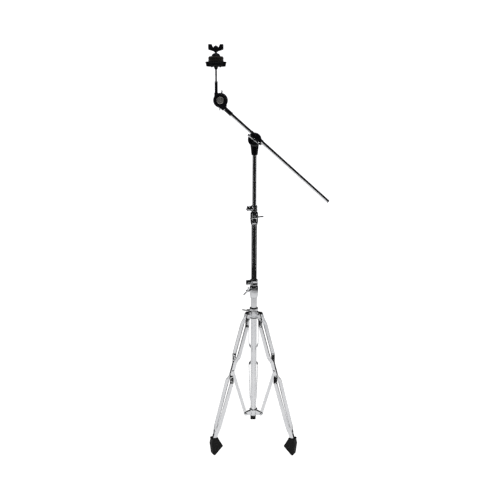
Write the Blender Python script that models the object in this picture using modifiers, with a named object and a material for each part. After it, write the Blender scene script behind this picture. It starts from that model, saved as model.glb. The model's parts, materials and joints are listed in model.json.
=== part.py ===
"""A boom cymbal stand: a double-braced folding tripod, two telescoping tubes and a tilting boom arm
whose upper end carries the seat that a cymbal hangs on. Metres, +Z up, floor at Z = 0, front at -Y.
Each empty sits on the axis of a joint and carries the pieces that move with it."""

import math

import bmesh
import bpy
from mathutils import Matrix, Quaternion, Vector

# Clearances
GAP = 0.0003  # between pieces that touch
SLIDE_GAP = 0.0008  # between the leg collar and the tube that it slides on
PIVOT_GAP = 0.0009  # round the leg pins, which float a little as the tripod spreads
SIDE_GAP = 0.0006  # between a leg strap and the lug that it straddles

# Telescoping column
BASE_RADIUS = 0.0127
BASE_WALL = 0.0012
TUBE_PLAY = 0.0004  # round the middle tube inside the base tube
MIDDLE_RADIUS = BASE_RADIUS - BASE_WALL - TUBE_PLAY
MIDDLE_WALL = 0.0012
UPPER_RADIUS = 0.00795
UPPER_WALL = 0.0014
BASE_BOTTOM = 0.140
BASE_LENGTH = 0.560
MIDDLE_BOTTOM = 0.500
MIDDLE_LENGTH = 0.510
UPPER_BOTTOM = 0.830

# Tripod
LEG_TURNS = (210, 330, 90)  # where the legs stand round the column, in degrees
LEG_ANGLE = math.radians(17)  # of a leg from upright
COLLAR_PIVOT_HEIGHT = 0.610
LEG_UPPER = 0.251  # from a leg's top pivot to its middle rivet
BRACE_LENGTH = 0.225
BRACE_WIDTH = 0.014
BRACE_THICKNESS = 0.003
STRAP_WIDTH = 0.018
STRAP_WALL = 0.0015
STRAP_END = 0.577  # from a leg's top pivot to the lower end of its straps
BOW_DEPTH = 0.022  # of a strap's outer face from the leg's middle plane where it bows out
FOOT_END_DEPTH = 0.009  # the same, inside the foot
FLANGE = 0.0035
PIN_RADIUS = 0.003
PIN_HEAD_RADIUS = 0.0052
PIN_HEAD = 0.0021
FOOT_WIDTH = 0.025
FOOT_POCKET = 0.034
FOOT_HEEL = (-0.0392, 0.0070)  # outward, and below the straps' ends
FOOT_TIP = (-0.0150, 0.0412)
FOOT_WALL = 0.0025  # outside the straps' ends
FOOT_LIP = 0.0072  # of the mouth's outer lip beyond the straps' edge
FOOT_LIP_DROP = 0.008  # of that lip below the mouth's inner side

# Leg collar and lower bracket
BUSH_WALL = 0.0022
COLLAR_WALL = 0.0025
COLLAR_RADIUS = BASE_RADIUS + SLIDE_GAP + BUSH_WALL + GAP + COLLAR_WALL
COLLAR_PIVOT_RADIUS = COLLAR_RADIUS + 0.011
COLLAR_HEIGHT = 0.041
COLLAR_BELOW_PIVOT = 0.0175
COLLAR_LUG = 0.015
LUG_ROUND = 0.0085
BRACKET_WALL = 0.0045
BRACKET_RADIUS = BASE_RADIUS + GAP + BRACKET_WALL
BRACKET_PIVOT_RADIUS = BRACKET_RADIUS + 0.0215
BRACKET_HEIGHT = 0.028
BRACKET_EAR = 0.0035
EAR_ROUND = 0.0075
EAR_ROOT = 0.011  # half the height of an ear where it joins the ring

# Clamps and memory locks
CLAMP_HEIGHT = 0.049
CLAMP_TOP = 0.027  # above the end of the tube that it holds
CLAMP_BOLT = 0.0145  # the wing bolt's height above the end of that tube
CLAMP_WALL = 0.0046
CLAMP_FOOT_WALL = 0.0018
CLAMP_BOSS_RADIUS = 0.0068
CLAMP_BOSS_REACH = 0.011
BUSH_FLANGE = 0.0028
LOCK_WALL = 0.0042
LOCK_HEIGHT = 0.024
LOCK_REACH = 0.0165
LOCK_EAR = 0.014
LOCK_SLOT = 0.0016
LOCK_LIFT = 0.003  # of a lock above the clamp that it rests on
BASE_CLAMP_TURN = 222
MIDDLE_CLAMP_TURN = 284
MIDDLE_LOCK_TURN = 196
UPPER_LOCK_TURN = 186
COLLAR_BOLT_TURN = 150
COLLAR_BOLT_ROLL = 20
COLLAR_BOLT_STAND_OFF = 0.004

# Wing bolts
BOLT_RADIUS = 0.003
BOLT_HUB = 0.0072
BOLT_HUB_LENGTH = 0.012
WING_THICKNESS = 0.0052

# Boom
BOOM_ANGLE = math.radians(41.3)  # of the arm below level, towards +X
BOOM_HEIGHT = 1.330
SOCKET_BOTTOM = -0.062  # from the boom's tilt axis
SOCKET_TOP = -0.021
SOCKET_TOP_RADIUS = 0.0165
SOCKET_FOOT_RADIUS = 0.0124
SOCKET_DEPTH = 0.030
SOCKET_END_GAP = 0.003  # above the upper tube's end
SOCKET_DISC = 0.024
SOCKET_DISC_BACK = 0.004
SOCKET_DISC_THICKNESS = 0.009
HUB_RADIUS = 0.026
HUB_THICKNESS = 0.0205
CAP_RADIUS = 0.0268
CAP_THICKNESS = 0.006
ARM_RADIUS = 0.00635
ARM_WALL = 0.0012
SLEEVE_WALL = 0.001
ARM_CLEAR = 0.00075  # between the arm's sleeve and the clamp's bolt
ARM_OFFSET = ARM_RADIUS + GAP + SLEEVE_WALL + ARM_CLEAR + BOLT_RADIUS  # from the tilt axis
ARM_UPPER = 0.181  # from the tilt axis up to the arm's upper end
ARM_LOWER = 0.380  # from the tilt axis down to its lower end
SLEEVE_HALF = 0.0305
FERRULE_WALL = 0.00165
FERRULE_RADIUS = ARM_RADIUS + GAP + FERRULE_WALL
FERRULE_LENGTH = 0.035

# Seat tilter
TILTER_ALONG = 0.197  # from the boom's tilt axis up the arm to the seat's tilt axis
TILTER_OFFSET = 0.0115  # of the seat's tilt axis from the arm's axis
HOUSING_RADIUS = 0.024
HOUSING_TAIL = 0.0336
HOUSING_TAIL_HALF = 0.011
HOUSING_DEPTH = 0.020
BADGE_RADIUS = 0.0135
BADGE_THICKNESS = 0.0022
RIM_RADIUS = 0.0268
RIM_THICKNESS = 0.0048
ROD_HUB_RADIUS = 0.0285
ROD_HUB_THICKNESS = 0.0135
ROD_HUB_SOCKET = 0.006  # the depth of the rod's socket above the seat's tilt axis
ROD_OFFSET = 0.0163  # of the seat rod from the seat's tilt axis
ROD_RADIUS = 0.0035
ROD_SLEEVE_WALL = 0.002
ROD_SLEEVE_RADIUS = ROD_RADIUS + GAP + ROD_SLEEVE_WALL
ROD_SLEEVE_TOP = 0.0675
ROD_BOSS_WALL = 0.002
ROD_BOSS_RADIUS = ROD_SLEEVE_RADIUS + ROD_BOSS_WALL
ROD_BOSS_TOP = 0.029
ROD_SHOWS = 0.0025  # of the rod above the wing nut's boss

# Seat, with heights above the seat's tilt axis
CUP_BOTTOM = 0.126
CUP_HEIGHT = 0.0165
CUP_TOP_RADIUS = 0.0406
CUP_FOOT_RADIUS = 0.0372
CUP_RECESS = 0.004
CUP_LIP = 0.0022
CUP_CONE = 0.011
NUB_RADIUS = 0.0028
NUB_RING = 0.0158
NUB_DROP = 0.0036
FELT_RADIUS = 0.0295
FELT_HEIGHT = 0.0118
FELT_SHOULDER = 0.005
BUSHING_WALL = 0.0017
BUSHING_RADIUS = ROD_RADIUS + GAP + BUSHING_WALL
BUSHING_OVER = 0.004  # of the rod's bushing above the felts
WASHER_RADIUS = 0.0164
WASHER_HEIGHT = 0.0122
NUT_NECK_WALL = 0.0007
NUT_NECK_RADIUS = ROD_RADIUS + GAP + NUT_NECK_WALL
NUT_NECK = 0.003
NUT_BOSS_RADIUS = 0.0095
NUT_BOSS_HEIGHT = 0.0215
NUT_HALF_SPAN = 0.0292
NUT_EAR_HEIGHT = 0.0288
NUT_EAR_THICKNESS = 0.0085

ROUND = 20  # sides of a turned piece
SMALL_ROUND = 8


def clear_scene():
    for obj in list(bpy.data.objects):
        bpy.data.objects.remove(obj, do_unlink=True)


def new_collection(name):
    group = bpy.data.collections.new(name)
    bpy.context.scene.collection.children.link(group)
    return group


def finish(name, color, roughness, metallic):
    material = bpy.data.materials.new(name)
    material.use_nodes = True
    shader = material.node_tree.nodes["Principled BSDF"]
    shader.inputs["Base Color"].default_value = (*color, 1)
    shader.inputs["Roughness"].default_value = roughness
    shader.inputs["Metallic"].default_value = metallic
    return material


clear_scene()
PARTS = new_collection("boom_cymbal_stand")
CUTTERS = new_collection("cutters")
CUTTERS.hide_render = True
CHROME = finish("chrome", (0.80, 0.80, 0.81), 0.08, 1.0)
BLACK_METAL = finish("black_metal", (0.02, 0.02, 0.022), 0.25, 0.6)
NYLON = finish("black_nylon", (0.02, 0.02, 0.02), 0.45, 0.0)
RUBBER = finish("rubber", (0.02, 0.02, 0.02), 0.7, 0.0)
FELT = finish("felt", (0.03, 0.025, 0.022), 0.95, 0.0)
BADGE = finish("badge", (0.62, 0.60, 0.56), 0.3, 0.8)


# Making and placing


def add(name, data, material):
    obj = bpy.data.objects.new(name, data)
    PARTS.objects.link(obj)
    if material:
        data.materials.append(material)
    return obj


def frame(name, parent=None, at=(0, 0, 0), turn=(0, 0, 0)):
    """An empty on a joint's axis, or at a place that several pieces share."""
    empty = bpy.data.objects.new(name, None)
    empty.empty_display_size = 0.03
    PARTS.objects.link(empty)
    return put(empty, parent, at, turn)


def put(obj, parent, at=(0, 0, 0), turn=(0, 0, 0)):
    obj.parent = parent
    obj.location = at
    obj.rotation_euler = turn
    return obj


def aim(direction, roll=0):
    """The rotation that turns +Z to a direction, then rolls about it by some degrees."""
    track = Vector(direction).to_track_quat("Z", "Y")
    return (track @ Quaternion((0, 0, 1), math.radians(roll))).to_euler()


def polar(radius, degrees, height=0.0):
    turn = math.radians(degrees)
    return (radius * math.cos(turn), radius * math.sin(turn), height)


def mesh_object(name, shape, material):
    bmesh.ops.recalc_face_normals(shape, faces=shape.faces)
    mesh = bpy.data.meshes.new(name)
    shape.to_mesh(mesh)
    shape.free()
    return add(name, mesh, material)


def smooth(obj, degrees=35):
    obj.data.shade_smooth()
    obj.data.set_sharp_from_angle(angle=math.radians(degrees))
    return obj


def turned(name, profile, material, sides=ROUND):
    """A solid of revolution about Z from (radius, height) points, down the outside and back up."""
    mesh = bpy.data.meshes.new(name)
    links = [(i, i + 1) for i in range(len(profile) - 1)]
    if profile[0][0] > 0:
        links.append((len(profile) - 1, 0))
    mesh.from_pydata([(radius, 0, height) for radius, height in profile], links, [])
    obj = add(name, mesh, material)
    screw = obj.modifiers.new("turned", "SCREW")
    screw.steps = screw.render_steps = sides
    screw.use_merge_vertices = True
    screw.merge_threshold = 0.00002
    screw.use_smooth_shade = True
    return obj


def tube(name, outer, inner, bottom, top, material, sides=ROUND):
    profile = [(outer, top), (outer, bottom), (inner, bottom), (inner, top)]
    return turned(name, profile, material, sides)


def rod(name, radius, bottom, top, material, sides=SMALL_ROUND):
    shape = bmesh.new()
    bmesh.ops.create_cone(
        shape, cap_ends=True, segments=sides, radius1=radius, radius2=radius, depth=top - bottom
    )
    bmesh.ops.translate(shape, verts=shape.verts, vec=(0, 0, (top + bottom) / 2))
    return smooth(mesh_object(name, shape, material))


def box(name, size, material, center=(0, 0, 0)):
    shape = bmesh.new()
    bmesh.ops.create_cube(shape, size=1)
    bmesh.ops.scale(shape, verts=shape.verts, vec=size)
    bmesh.ops.translate(shape, verts=shape.verts, vec=center)
    return mesh_object(name, shape, material)


def arc(center, radius, start, end, steps):
    """Points of an arc between two angles in degrees, both ends included."""
    turns = [math.radians(start + (end - start) * i / steps) for i in range(steps + 1)]
    return [(center[0] + radius * math.cos(t), center[1] + radius * math.sin(t)) for t in turns]


def circle(center, radius, sides=SMALL_ROUND):
    return arc(center, radius, 0, 360, sides)[:-1]


def slot_outline(length, half_width, steps=8):
    """A bar with round ends, from the origin to (0, length)."""
    return arc((0, 0), half_width, 180, 360, steps) + arc((0, length), half_width, 0, 180, steps)


def plate(name, outlines, thickness, material):
    """A flat piece in its own XY plane, centred on it. Outlines after the first are holes."""
    curve = bpy.data.curves.new(name, "CURVE")
    curve.dimensions = "2D"
    curve.fill_mode = "BOTH"
    curve.extrude = thickness / 2
    for outline in outlines:
        spline = curve.splines.new("POLY")
        spline.points.add(len(outline) - 1)
        for point, (x, y) in zip(spline.points, outline):
            point.co = (x, y, 0, 1)
        spline.use_cyclic_u = True
    flat = bpy.data.objects.new("outline", curve)
    PARTS.objects.link(flat)
    graph = bpy.context.evaluated_depsgraph_get()
    mesh = bpy.data.meshes.new_from_object(flat.evaluated_get(graph))
    bpy.data.objects.remove(flat, do_unlink=True)
    shape = bmesh.new()
    shape.from_mesh(mesh)
    bmesh.ops.remove_doubles(shape, verts=shape.verts, dist=0.00001)
    bpy.data.meshes.remove(mesh)
    return mesh_object(name, shape, material)


def bevel(obj, width, segments=1, degrees=40):
    step = obj.modifiers.new("rounded", "BEVEL")
    step.width = width
    step.segments = segments
    step.limit_method = "ANGLE"
    step.angle_limit = math.radians(degrees)
    return obj


def combine(obj, tools, operation, solver="EXACT"):
    """Adds each tool's shape to the object, or takes it away. A tool sits in the object's own frame."""
    for tool, at, turn in tools:
        PARTS.objects.unlink(tool)
        CUTTERS.objects.link(tool)
        tool.hide_render = True
        tool.display_type = "WIRE"
        put(tool, obj, at, turn)
        step = obj.modifiers.new(operation.lower(), "BOOLEAN")
        step.operation = operation
        step.solver = solver
        step.object = tool
    return obj


def weld_on(obj, *tools):
    return combine(obj, tools, "UNION")


def weld_on_rounded(obj, *tools):
    """As weld_on, for bevelled tools, whose short edges the exact solver can lose."""
    return combine(obj, tools, "UNION", "MANIFOLD")


def cut_out(obj, *tools):
    return combine(obj, tools, "DIFFERENCE")


def drill(radius, start, end, at=(0, 0, 0), turn=(0, 0, 0), sides=SMALL_ROUND):
    """A round cutter along its own Z."""
    return rod("drill", radius, start, end, None, sides), at, turn


# Shared pieces


def wing_outline(span, rise, tip, root):
    """A pair of wings in a plane: X along the span, Y up the bolt's axis."""
    reach = span / 2 - tip
    right = [(0.35 * reach, 0.2 * root), *arc((reach, rise), tip, -75, 105, 4), (0.3 * reach, root)]
    return right + [(-x, y) for x, y in reversed(right)]


def wing_bolt(name, shank, span, rise=0.014, tip=0.0036, thickness=WING_THICKNESS):
    """A bolt along -Z with a hub and two wings along +Z."""
    hub_top = BOLT_HUB_LENGTH
    profile = [
        (0, hub_top),
        (0.6 * BOLT_HUB, hub_top),
        (0.8 * BOLT_HUB, 0.85 * hub_top),
        (BOLT_HUB, 0.3 * hub_top),
        (BOLT_HUB, 0),
        (BOLT_RADIUS, 0),
        (BOLT_RADIUS, -shank),
        (0, -shank),
    ]
    bolt = turned(name, profile, CHROME, SMALL_ROUND)
    wings = plate("wings", [wing_outline(span, rise, tip, hub_top * 0.95)], thickness, None)
    return weld_on(bolt, (wings, (0, 0, 0), (math.pi / 2, 0, 0)))


def pin(name, half_length):
    """A rivet along Z with a head at each end."""
    head = half_length + PIN_HEAD
    rim = PIN_HEAD_RADIUS
    profile = [
        (0, head),
        (0.65 * rim, head),
        (rim, half_length),
        (PIN_RADIUS, half_length),
        (PIN_RADIUS, -half_length),
        (rim, -half_length),
        (0.65 * rim, -head),
        (0, -head),
    ]
    return turned(name, profile, CHROME, SMALL_ROUND)


# Tripod


def strap_stations():
    """(distance down the leg, outer face from the middle plane) where a strap changes course."""
    at_lug = COLLAR_LUG / 2 + SIDE_GAP + FLANGE
    at_brace = BRACE_THICKNESS / 2 + GAP + FLANGE
    bow = BOW_DEPTH
    rivet = LEG_UPPER
    end = STRAP_END
    return [
        (-0.0075, at_lug),
        (0.021, at_lug),
        (0.047, bow),
        (rivet - 0.066, bow),
        (rivet - 0.038, at_brace),
        (rivet + 0.023, at_brace),
        (rivet + 0.046, bow),
        (end - 0.075, (bow + FOOT_END_DEPTH) / 2 + 0.001),
        (end - 0.045, FOOT_END_DEPTH),
        (end, FOOT_END_DEPTH),
    ]


def channel_section(depth):
    """A shallow channel's outer face: flange, rounded corner, web, corner, flange."""
    half = STRAP_WIDTH / 2
    corner = 0.0014
    edge = depth - FLANGE
    return [
        (-half, edge),
        (-half, depth - corner),
        (corner - half, depth),
        (half - corner, depth),
        (half, depth - corner),
        (half, edge),
    ]


def strap(name, side):
    """One pressed channel of a leg. X is across the leg in its plane, Y across it, -Z down it."""
    stations = strap_stations()
    section_points = len(channel_section(0))
    shape = bmesh.new()
    bmesh.ops.create_grid(
        shape, x_segments=section_points - 1, y_segments=len(stations) - 1, size=0.5
    )
    for vert in shape.verts:
        across = round((vert.co.x + 0.5) * (section_points - 1))
        down = round((vert.co.y + 0.5) * (len(stations) - 1))
        distance, depth = stations[down]
        x, y = channel_section(depth)[across]
        vert.co = (x, side * y, -distance)
    obj = mesh_object(name, shape, CHROME)
    face_out(obj, side)
    wall = obj.modifiers.new("wall", "SOLIDIFY")
    wall.thickness = STRAP_WALL
    wall.offset = -1
    wall.use_even_offset = True
    reach = BOW_DEPTH
    square = (math.pi / 2, 0, 0)
    return cut_out(
        obj,
        drill(PIN_RADIUS + PIVOT_GAP, -reach, reach, (0, 0, 0), square, 12),
        drill(PIN_RADIUS + GAP, -reach, reach, (0, 0, -LEG_UPPER), square),
    )


def face_out(obj, side):
    """Turns an open sheet's faces so that its web looks away from the leg's middle plane."""
    mesh = obj.data
    total = sum((face.normal.y * face.area for face in mesh.polygons))
    if total * side < 0:
        mesh.flip_normals()


def foot_outline():
    """The rubber boot from the side, in the leg's own frame: X outward, Y up the leg."""
    half = STRAP_WIDTH / 2
    top = -STRAP_END + FOOT_POCKET - 0.004
    tip = (FOOT_TIP[0], -STRAP_END - FOOT_TIP[1])
    corner = (FOOT_HEEL[0], -STRAP_END - FOOT_HEEL[1])
    points = [(half + FOOT_LIP, top - FOOT_LIP_DROP), (half + FOOT_WALL, top - FOOT_LIP_DROP / 2)]
    points += [(-half - FOOT_WALL, top), (-half - FOOT_WALL - 0.0015, top - 0.003)]
    points += arc(corner, 0.006, 160, 215, 2)
    points += arc(tip, 0.0085, 235, 345, 5)
    points += [(half + FOOT_WALL, -STRAP_END - FOOT_WALL)]
    return points


def foot(name):
    boot = plate(name, [foot_outline()], FOOT_WIDTH, RUBBER)
    bevel(boot, 0.0028, 2, 60)
    pocket_width = STRAP_WIDTH + 2 * GAP
    pocket_depth = 2 * (FOOT_END_DEPTH + GAP)
    floor = -STRAP_END - GAP
    pocket = box("pocket", (pocket_width, FOOT_POCKET + 0.02, pocket_depth), None)
    middle = (0, floor + (FOOT_POCKET + 0.02) / 2, 0)
    return cut_out(boot, (pocket, middle, (0, 0, 0)))


def brace(name):
    outline = slot_outline(BRACE_LENGTH, BRACE_WIDTH / 2)
    holes = [circle((0, 0), PIN_RADIUS + GAP), circle((0, BRACE_LENGTH), PIN_RADIUS + GAP)]
    return plate(name, [outline, *holes], BRACE_THICKNESS, CHROME)


def brace_angle():
    """Of a brace from upright, so that the leg collar sits centred on the tube."""
    across = COLLAR_PIVOT_RADIUS - BRACKET_PIVOT_RADIUS + LEG_UPPER * math.sin(LEG_ANGLE)
    return math.asin(across / BRACE_LENGTH)


def bracket_height():
    rivet = COLLAR_PIVOT_HEIGHT - LEG_UPPER * math.cos(LEG_ANGLE)
    return rivet - BRACE_LENGTH * math.cos(brace_angle())


def leg(number, degrees, stand):
    """One leg with its brace. Returns the frame at its top pivot, upright like the column."""
    lean = brace_angle()
    around = math.radians(degrees)
    foot_of_brace = polar(BRACKET_PIVOT_RADIUS, degrees, bracket_height())
    spoke = frame(f"bracket_spoke_{number}", stand, foot_of_brace, (0, 0, around))
    brace_axis = frame(f"brace_axis_{number}", spoke, turn=(0, lean, 0))
    upright = (math.pi / 2, 0, 0)
    put(brace(f"brace_{number}"), brace_axis, turn=upright)
    ear_half = BRACE_THICKNESS / 2 + GAP + BRACKET_EAR
    put(pin(f"bracket_pin_{number}", ear_half + GAP), spoke, turn=upright)
    turn = -(lean + LEG_ANGLE)
    leg_axis = frame(f"leg_axis_{number}", brace_axis, (0, 0, BRACE_LENGTH), (0, turn, 0))
    rivet_half = BRACE_THICKNESS / 2 + GAP + FLANGE
    put(pin(f"middle_rivet_{number}", rivet_half + GAP), leg_axis, turn=upright)
    top = (0, 0, LEG_UPPER)
    put(strap(f"leg_{number}_strap_left", 1), leg_axis, top)
    put(strap(f"leg_{number}_strap_right", -1), leg_axis, top)
    put(foot(f"foot_{number}"), leg_axis, top, upright)
    collar_axis = frame(f"collar_axis_{number}", leg_axis, top, (0, LEG_ANGLE, 0))
    lug_half = COLLAR_LUG / 2 + SIDE_GAP + FLANGE
    return collar_axis, lug_half


def leg_collar():
    """The sliding collar, in a frame whose origin is on the column at the height of the pins."""
    bottom = -COLLAR_BELOW_PIVOT
    top = bottom + COLLAR_HEIGHT
    inner = BASE_RADIUS + SLIDE_GAP + BUSH_WALL + GAP
    profile = [
        (inner + 0.0016, top),
        (COLLAR_RADIUS, top - 0.014),
        (COLLAR_RADIUS, bottom + 0.005),
        (COLLAR_RADIUS - 0.002, bottom),
        (inner, bottom),
        (inner, top),
    ]
    collar = turned("leg_collar", profile, CHROME)
    reach = COLLAR_PIVOT_RADIUS
    for degrees in LEG_TURNS:
        outline = arc((reach, 0), LUG_ROUND, -90, 90, 6)
        outline += [(inner + 0.001, LUG_ROUND), (inner + 0.001, -LUG_ROUND)]
        lug = plate("lug", [outline], COLLAR_LUG, None)
        spin = Matrix.Rotation(math.radians(degrees), 4, "Z") @ Matrix.Rotation(math.pi / 2, 4, "X")
        weld_on(collar, (lug, (0, 0, 0), spin.to_euler()))
    for degrees in LEG_TURNS:
        turn = aim(polar(1, degrees + 90))
        cut_out(collar, drill(PIN_RADIUS + GAP, -0.02, 0.02, polar(reach, degrees), turn))
    return cut_out(collar, collar_bolt_hole())


def collar_bolt_height():
    return COLLAR_HEIGHT * 0.55 - COLLAR_BELOW_PIVOT


def collar_bolt_hole():
    outward = aim(polar(1, COLLAR_BOLT_TURN))
    return drill(BOLT_RADIUS + GAP, 0.005, 0.04, (0, 0, collar_bolt_height()), outward)


def collar_bush():
    bottom = -COLLAR_BELOW_PIVOT - GAP
    top = bottom + COLLAR_HEIGHT + 2 * GAP
    inner = BASE_RADIUS + SLIDE_GAP
    outer = inner + BUSH_WALL
    profile = [
        (outer, top + 0.002),
        (outer, bottom),
        (outer + 0.002, bottom),
        (outer + 0.002, bottom - 0.0025),
        (inner, bottom - 0.0025),
        (inner, top + 0.002),
    ]
    return cut_out(turned("collar_bush", profile, NYLON), collar_bolt_hole())


def lower_bracket():
    """The fixed ring with three forked ears, in a frame on the column at the height of its pins."""
    inner = BASE_RADIUS + GAP
    half = BRACKET_HEIGHT / 2
    profile = [
        (BRACKET_RADIUS - 0.0015, half),
        (BRACKET_RADIUS, half - 0.0015),
        (BRACKET_RADIUS, 0.0015 - half),
        (BRACKET_RADIUS - 0.0015, -half),
        (inner, -half),
        (inner, half),
    ]
    bracket = turned("lower_bracket", profile, CHROME)
    reach = BRACKET_PIVOT_RADIUS
    root = inner + 0.0012
    fork_depth = BRACE_WIDTH / 2 + 0.0015
    ear_half = BRACE_THICKNESS / 2 + GAP + BRACKET_EAR
    for degrees in LEG_TURNS:
        outline = arc((reach, 0), EAR_ROUND, -90, 90, 6) + [(root, EAR_ROOT), (root, -EAR_ROOT)]
        ears = plate("ears", [outline], 2 * ear_half, None)
        spin = Matrix.Rotation(math.radians(degrees), 4, "Z") @ Matrix.Rotation(math.pi / 2, 4, "X")
        weld_on(bracket, (ears, (0, 0, 0), spin.to_euler()))
    for degrees in LEG_TURNS:
        length = fork_depth + EAR_ROUND + 0.01
        slot = box("fork", (length, BRACE_THICKNESS + 2 * GAP, 0.05), None, (length / 2, 0, 0))
        at = polar(reach - fork_depth, degrees)
        cut_out(bracket, (slot, at, (0, 0, math.radians(degrees))))
        turn = aim(polar(1, degrees + 90))
        cut_out(bracket, drill(PIN_RADIUS + GAP, -0.02, 0.02, polar(reach, degrees), turn))
    return bracket


def tripod(stand):
    heads = []
    for number, degrees in enumerate(LEG_TURNS, 1):
        heads.append(leg(number, degrees, stand))
    first, pin_half = heads[0]
    around = math.radians(LEG_TURNS[0])
    hub = frame("collar_frame", first, (-COLLAR_PIVOT_RADIUS, 0, 0), (0, 0, -around))
    put(leg_collar(), hub)
    put(collar_bush(), hub)
    for number, degrees in enumerate(LEG_TURNS, 1):
        turn = aim(polar(1, degrees + 90))
        put(pin(f"leg_pin_{number}", pin_half + GAP), hub, polar(COLLAR_PIVOT_RADIUS, degrees), turn)
    start = BASE_RADIUS + SLIDE_GAP + GAP
    seat = COLLAR_RADIUS + COLLAR_BOLT_STAND_OFF
    turn = aim(polar(1, COLLAR_BOLT_TURN), COLLAR_BOLT_ROLL)
    axis = frame("collar_bolt_axis", hub, (0, 0, collar_bolt_height()), turn)
    put(wing_bolt("collar_wing_bolt", seat - start, 0.056, 0.017), axis, (0, 0, seat))
    put(lower_bracket(), stand, (0, 0, bracket_height()))


# Column


def clamp(name, held, turn):
    """A cast clamp on top of a tube. Its frame's origin is at the top of that tube."""
    inner = held + GAP
    waist = held + CLAMP_WALL
    bottom = CLAMP_TOP - CLAMP_HEIGHT
    profile = [
        (waist - 0.0008, CLAMP_TOP),
        (waist, CLAMP_TOP - 0.0012),
        (waist, bottom + 0.021),
        (held + CLAMP_FOOT_WALL + 0.001, bottom + 0.006),
        (held + CLAMP_FOOT_WALL, bottom),
        (inner, bottom),
        (inner, CLAMP_TOP),
    ]
    body = turned(name, profile, CHROME)
    at = (0, 0, CLAMP_BOLT)
    outward = aim(polar(1, turn))
    boss = rod("boss", CLAMP_BOSS_RADIUS, inner + 0.0015, waist + CLAMP_BOSS_REACH, None, 12)
    weld_on(body, (boss, at, outward))
    return cut_out(body, drill(BOLT_RADIUS + GAP, inner - 0.004, 0.05, at, outward))


def clamp_bush(name, held, passing):
    """The nylon bush between a clamp and the tube that slides in it."""
    inner = passing + GAP
    flange = held + CLAMP_WALL - 0.0012
    rim = CLAMP_TOP + BUSH_FLANGE
    profile = [
        (flange - 0.001, rim),
        (flange, rim - 0.001),
        (flange, CLAMP_TOP + GAP),
        (held, CLAMP_TOP + GAP),
        (held, GAP),
        (inner, GAP),
        (inner, rim),
    ]
    return turned(name, profile, NYLON)


def add_clamp(prefix, parent, tube_top, held, passing, turn, roll, span):
    """A clamp, its bush and its wing bolt. Returns the height of the bush's top."""
    at = (0, 0, tube_top)
    put(clamp(f"{prefix}_clamp", held, turn), parent, at)
    put(clamp_bush(f"{prefix}_clamp_bush", held, passing), parent, at)
    bolt_at = (0, 0, tube_top + CLAMP_BOLT)
    axis = frame(f"{prefix}_bolt_axis", parent, bolt_at, aim(polar(1, turn), roll))
    seat = held + CLAMP_WALL + CLAMP_BOSS_REACH + GAP
    put(wing_bolt(f"{prefix}_wing_bolt", seat - held - GAP, span), axis, (0, 0, seat))
    return tube_top + CLAMP_TOP + BUSH_FLANGE


def memory_lock(name, passing, turn):
    """A split ring with a pair of ears, its origin on the column at its lower face."""
    inner = passing + GAP
    outer = inner + LOCK_WALL
    ring = tube(name, outer, inner, 0, LOCK_HEIGHT, CHROME)
    reach = outer + LOCK_REACH - inner
    around = (0, 0, math.radians(turn))
    ears = box("ears", (reach, LOCK_EAR, LOCK_HEIGHT * 0.85), None, (reach / 2, 0, 0))
    bevel(ears, 0.003, 2)
    weld_on_rounded(ring, (ears, polar(inner + 0.0012, turn, LOCK_HEIGHT / 2), around))
    length = reach + 0.02
    slot = box("slot", (length, LOCK_SLOT, LOCK_HEIGHT * 2), None, (length / 2, 0, 0))
    cut_out(ring, (slot, polar(inner - 0.004, turn), around))
    bolt_at = polar(lock_bolt_radius(passing), turn, LOCK_HEIGHT / 2)
    cut_out(ring, drill(BOLT_RADIUS + GAP, -0.02, 0.02, bolt_at, aim(polar(1, turn + 90))))
    return ring


def lock_bolt_radius(passing):
    return passing + LOCK_WALL + 0.55 * LOCK_REACH


def add_lock(prefix, parent, height, passing, turn, span, roll):
    """A memory lock on its own swivel frame, with the wing bolt that tightens it."""
    swivel = frame(f"{prefix}_swivel_axis", parent, (0, 0, height))
    put(memory_lock(f"{prefix}_lock", passing, turn), swivel)
    at = polar(lock_bolt_radius(passing), turn, LOCK_HEIGHT / 2)
    axis = frame(f"{prefix}_lock_bolt_axis", swivel, at, aim(polar(1, turn + 90), roll))
    half = LOCK_EAR / 2 + GAP
    bolt = wing_bolt(f"{prefix}_lock_bolt", LOCK_EAR + 2 * GAP, span, 0.009, 0.003, 0.0045)
    put(bolt, axis, (0, 0, half))
    return swivel


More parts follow.
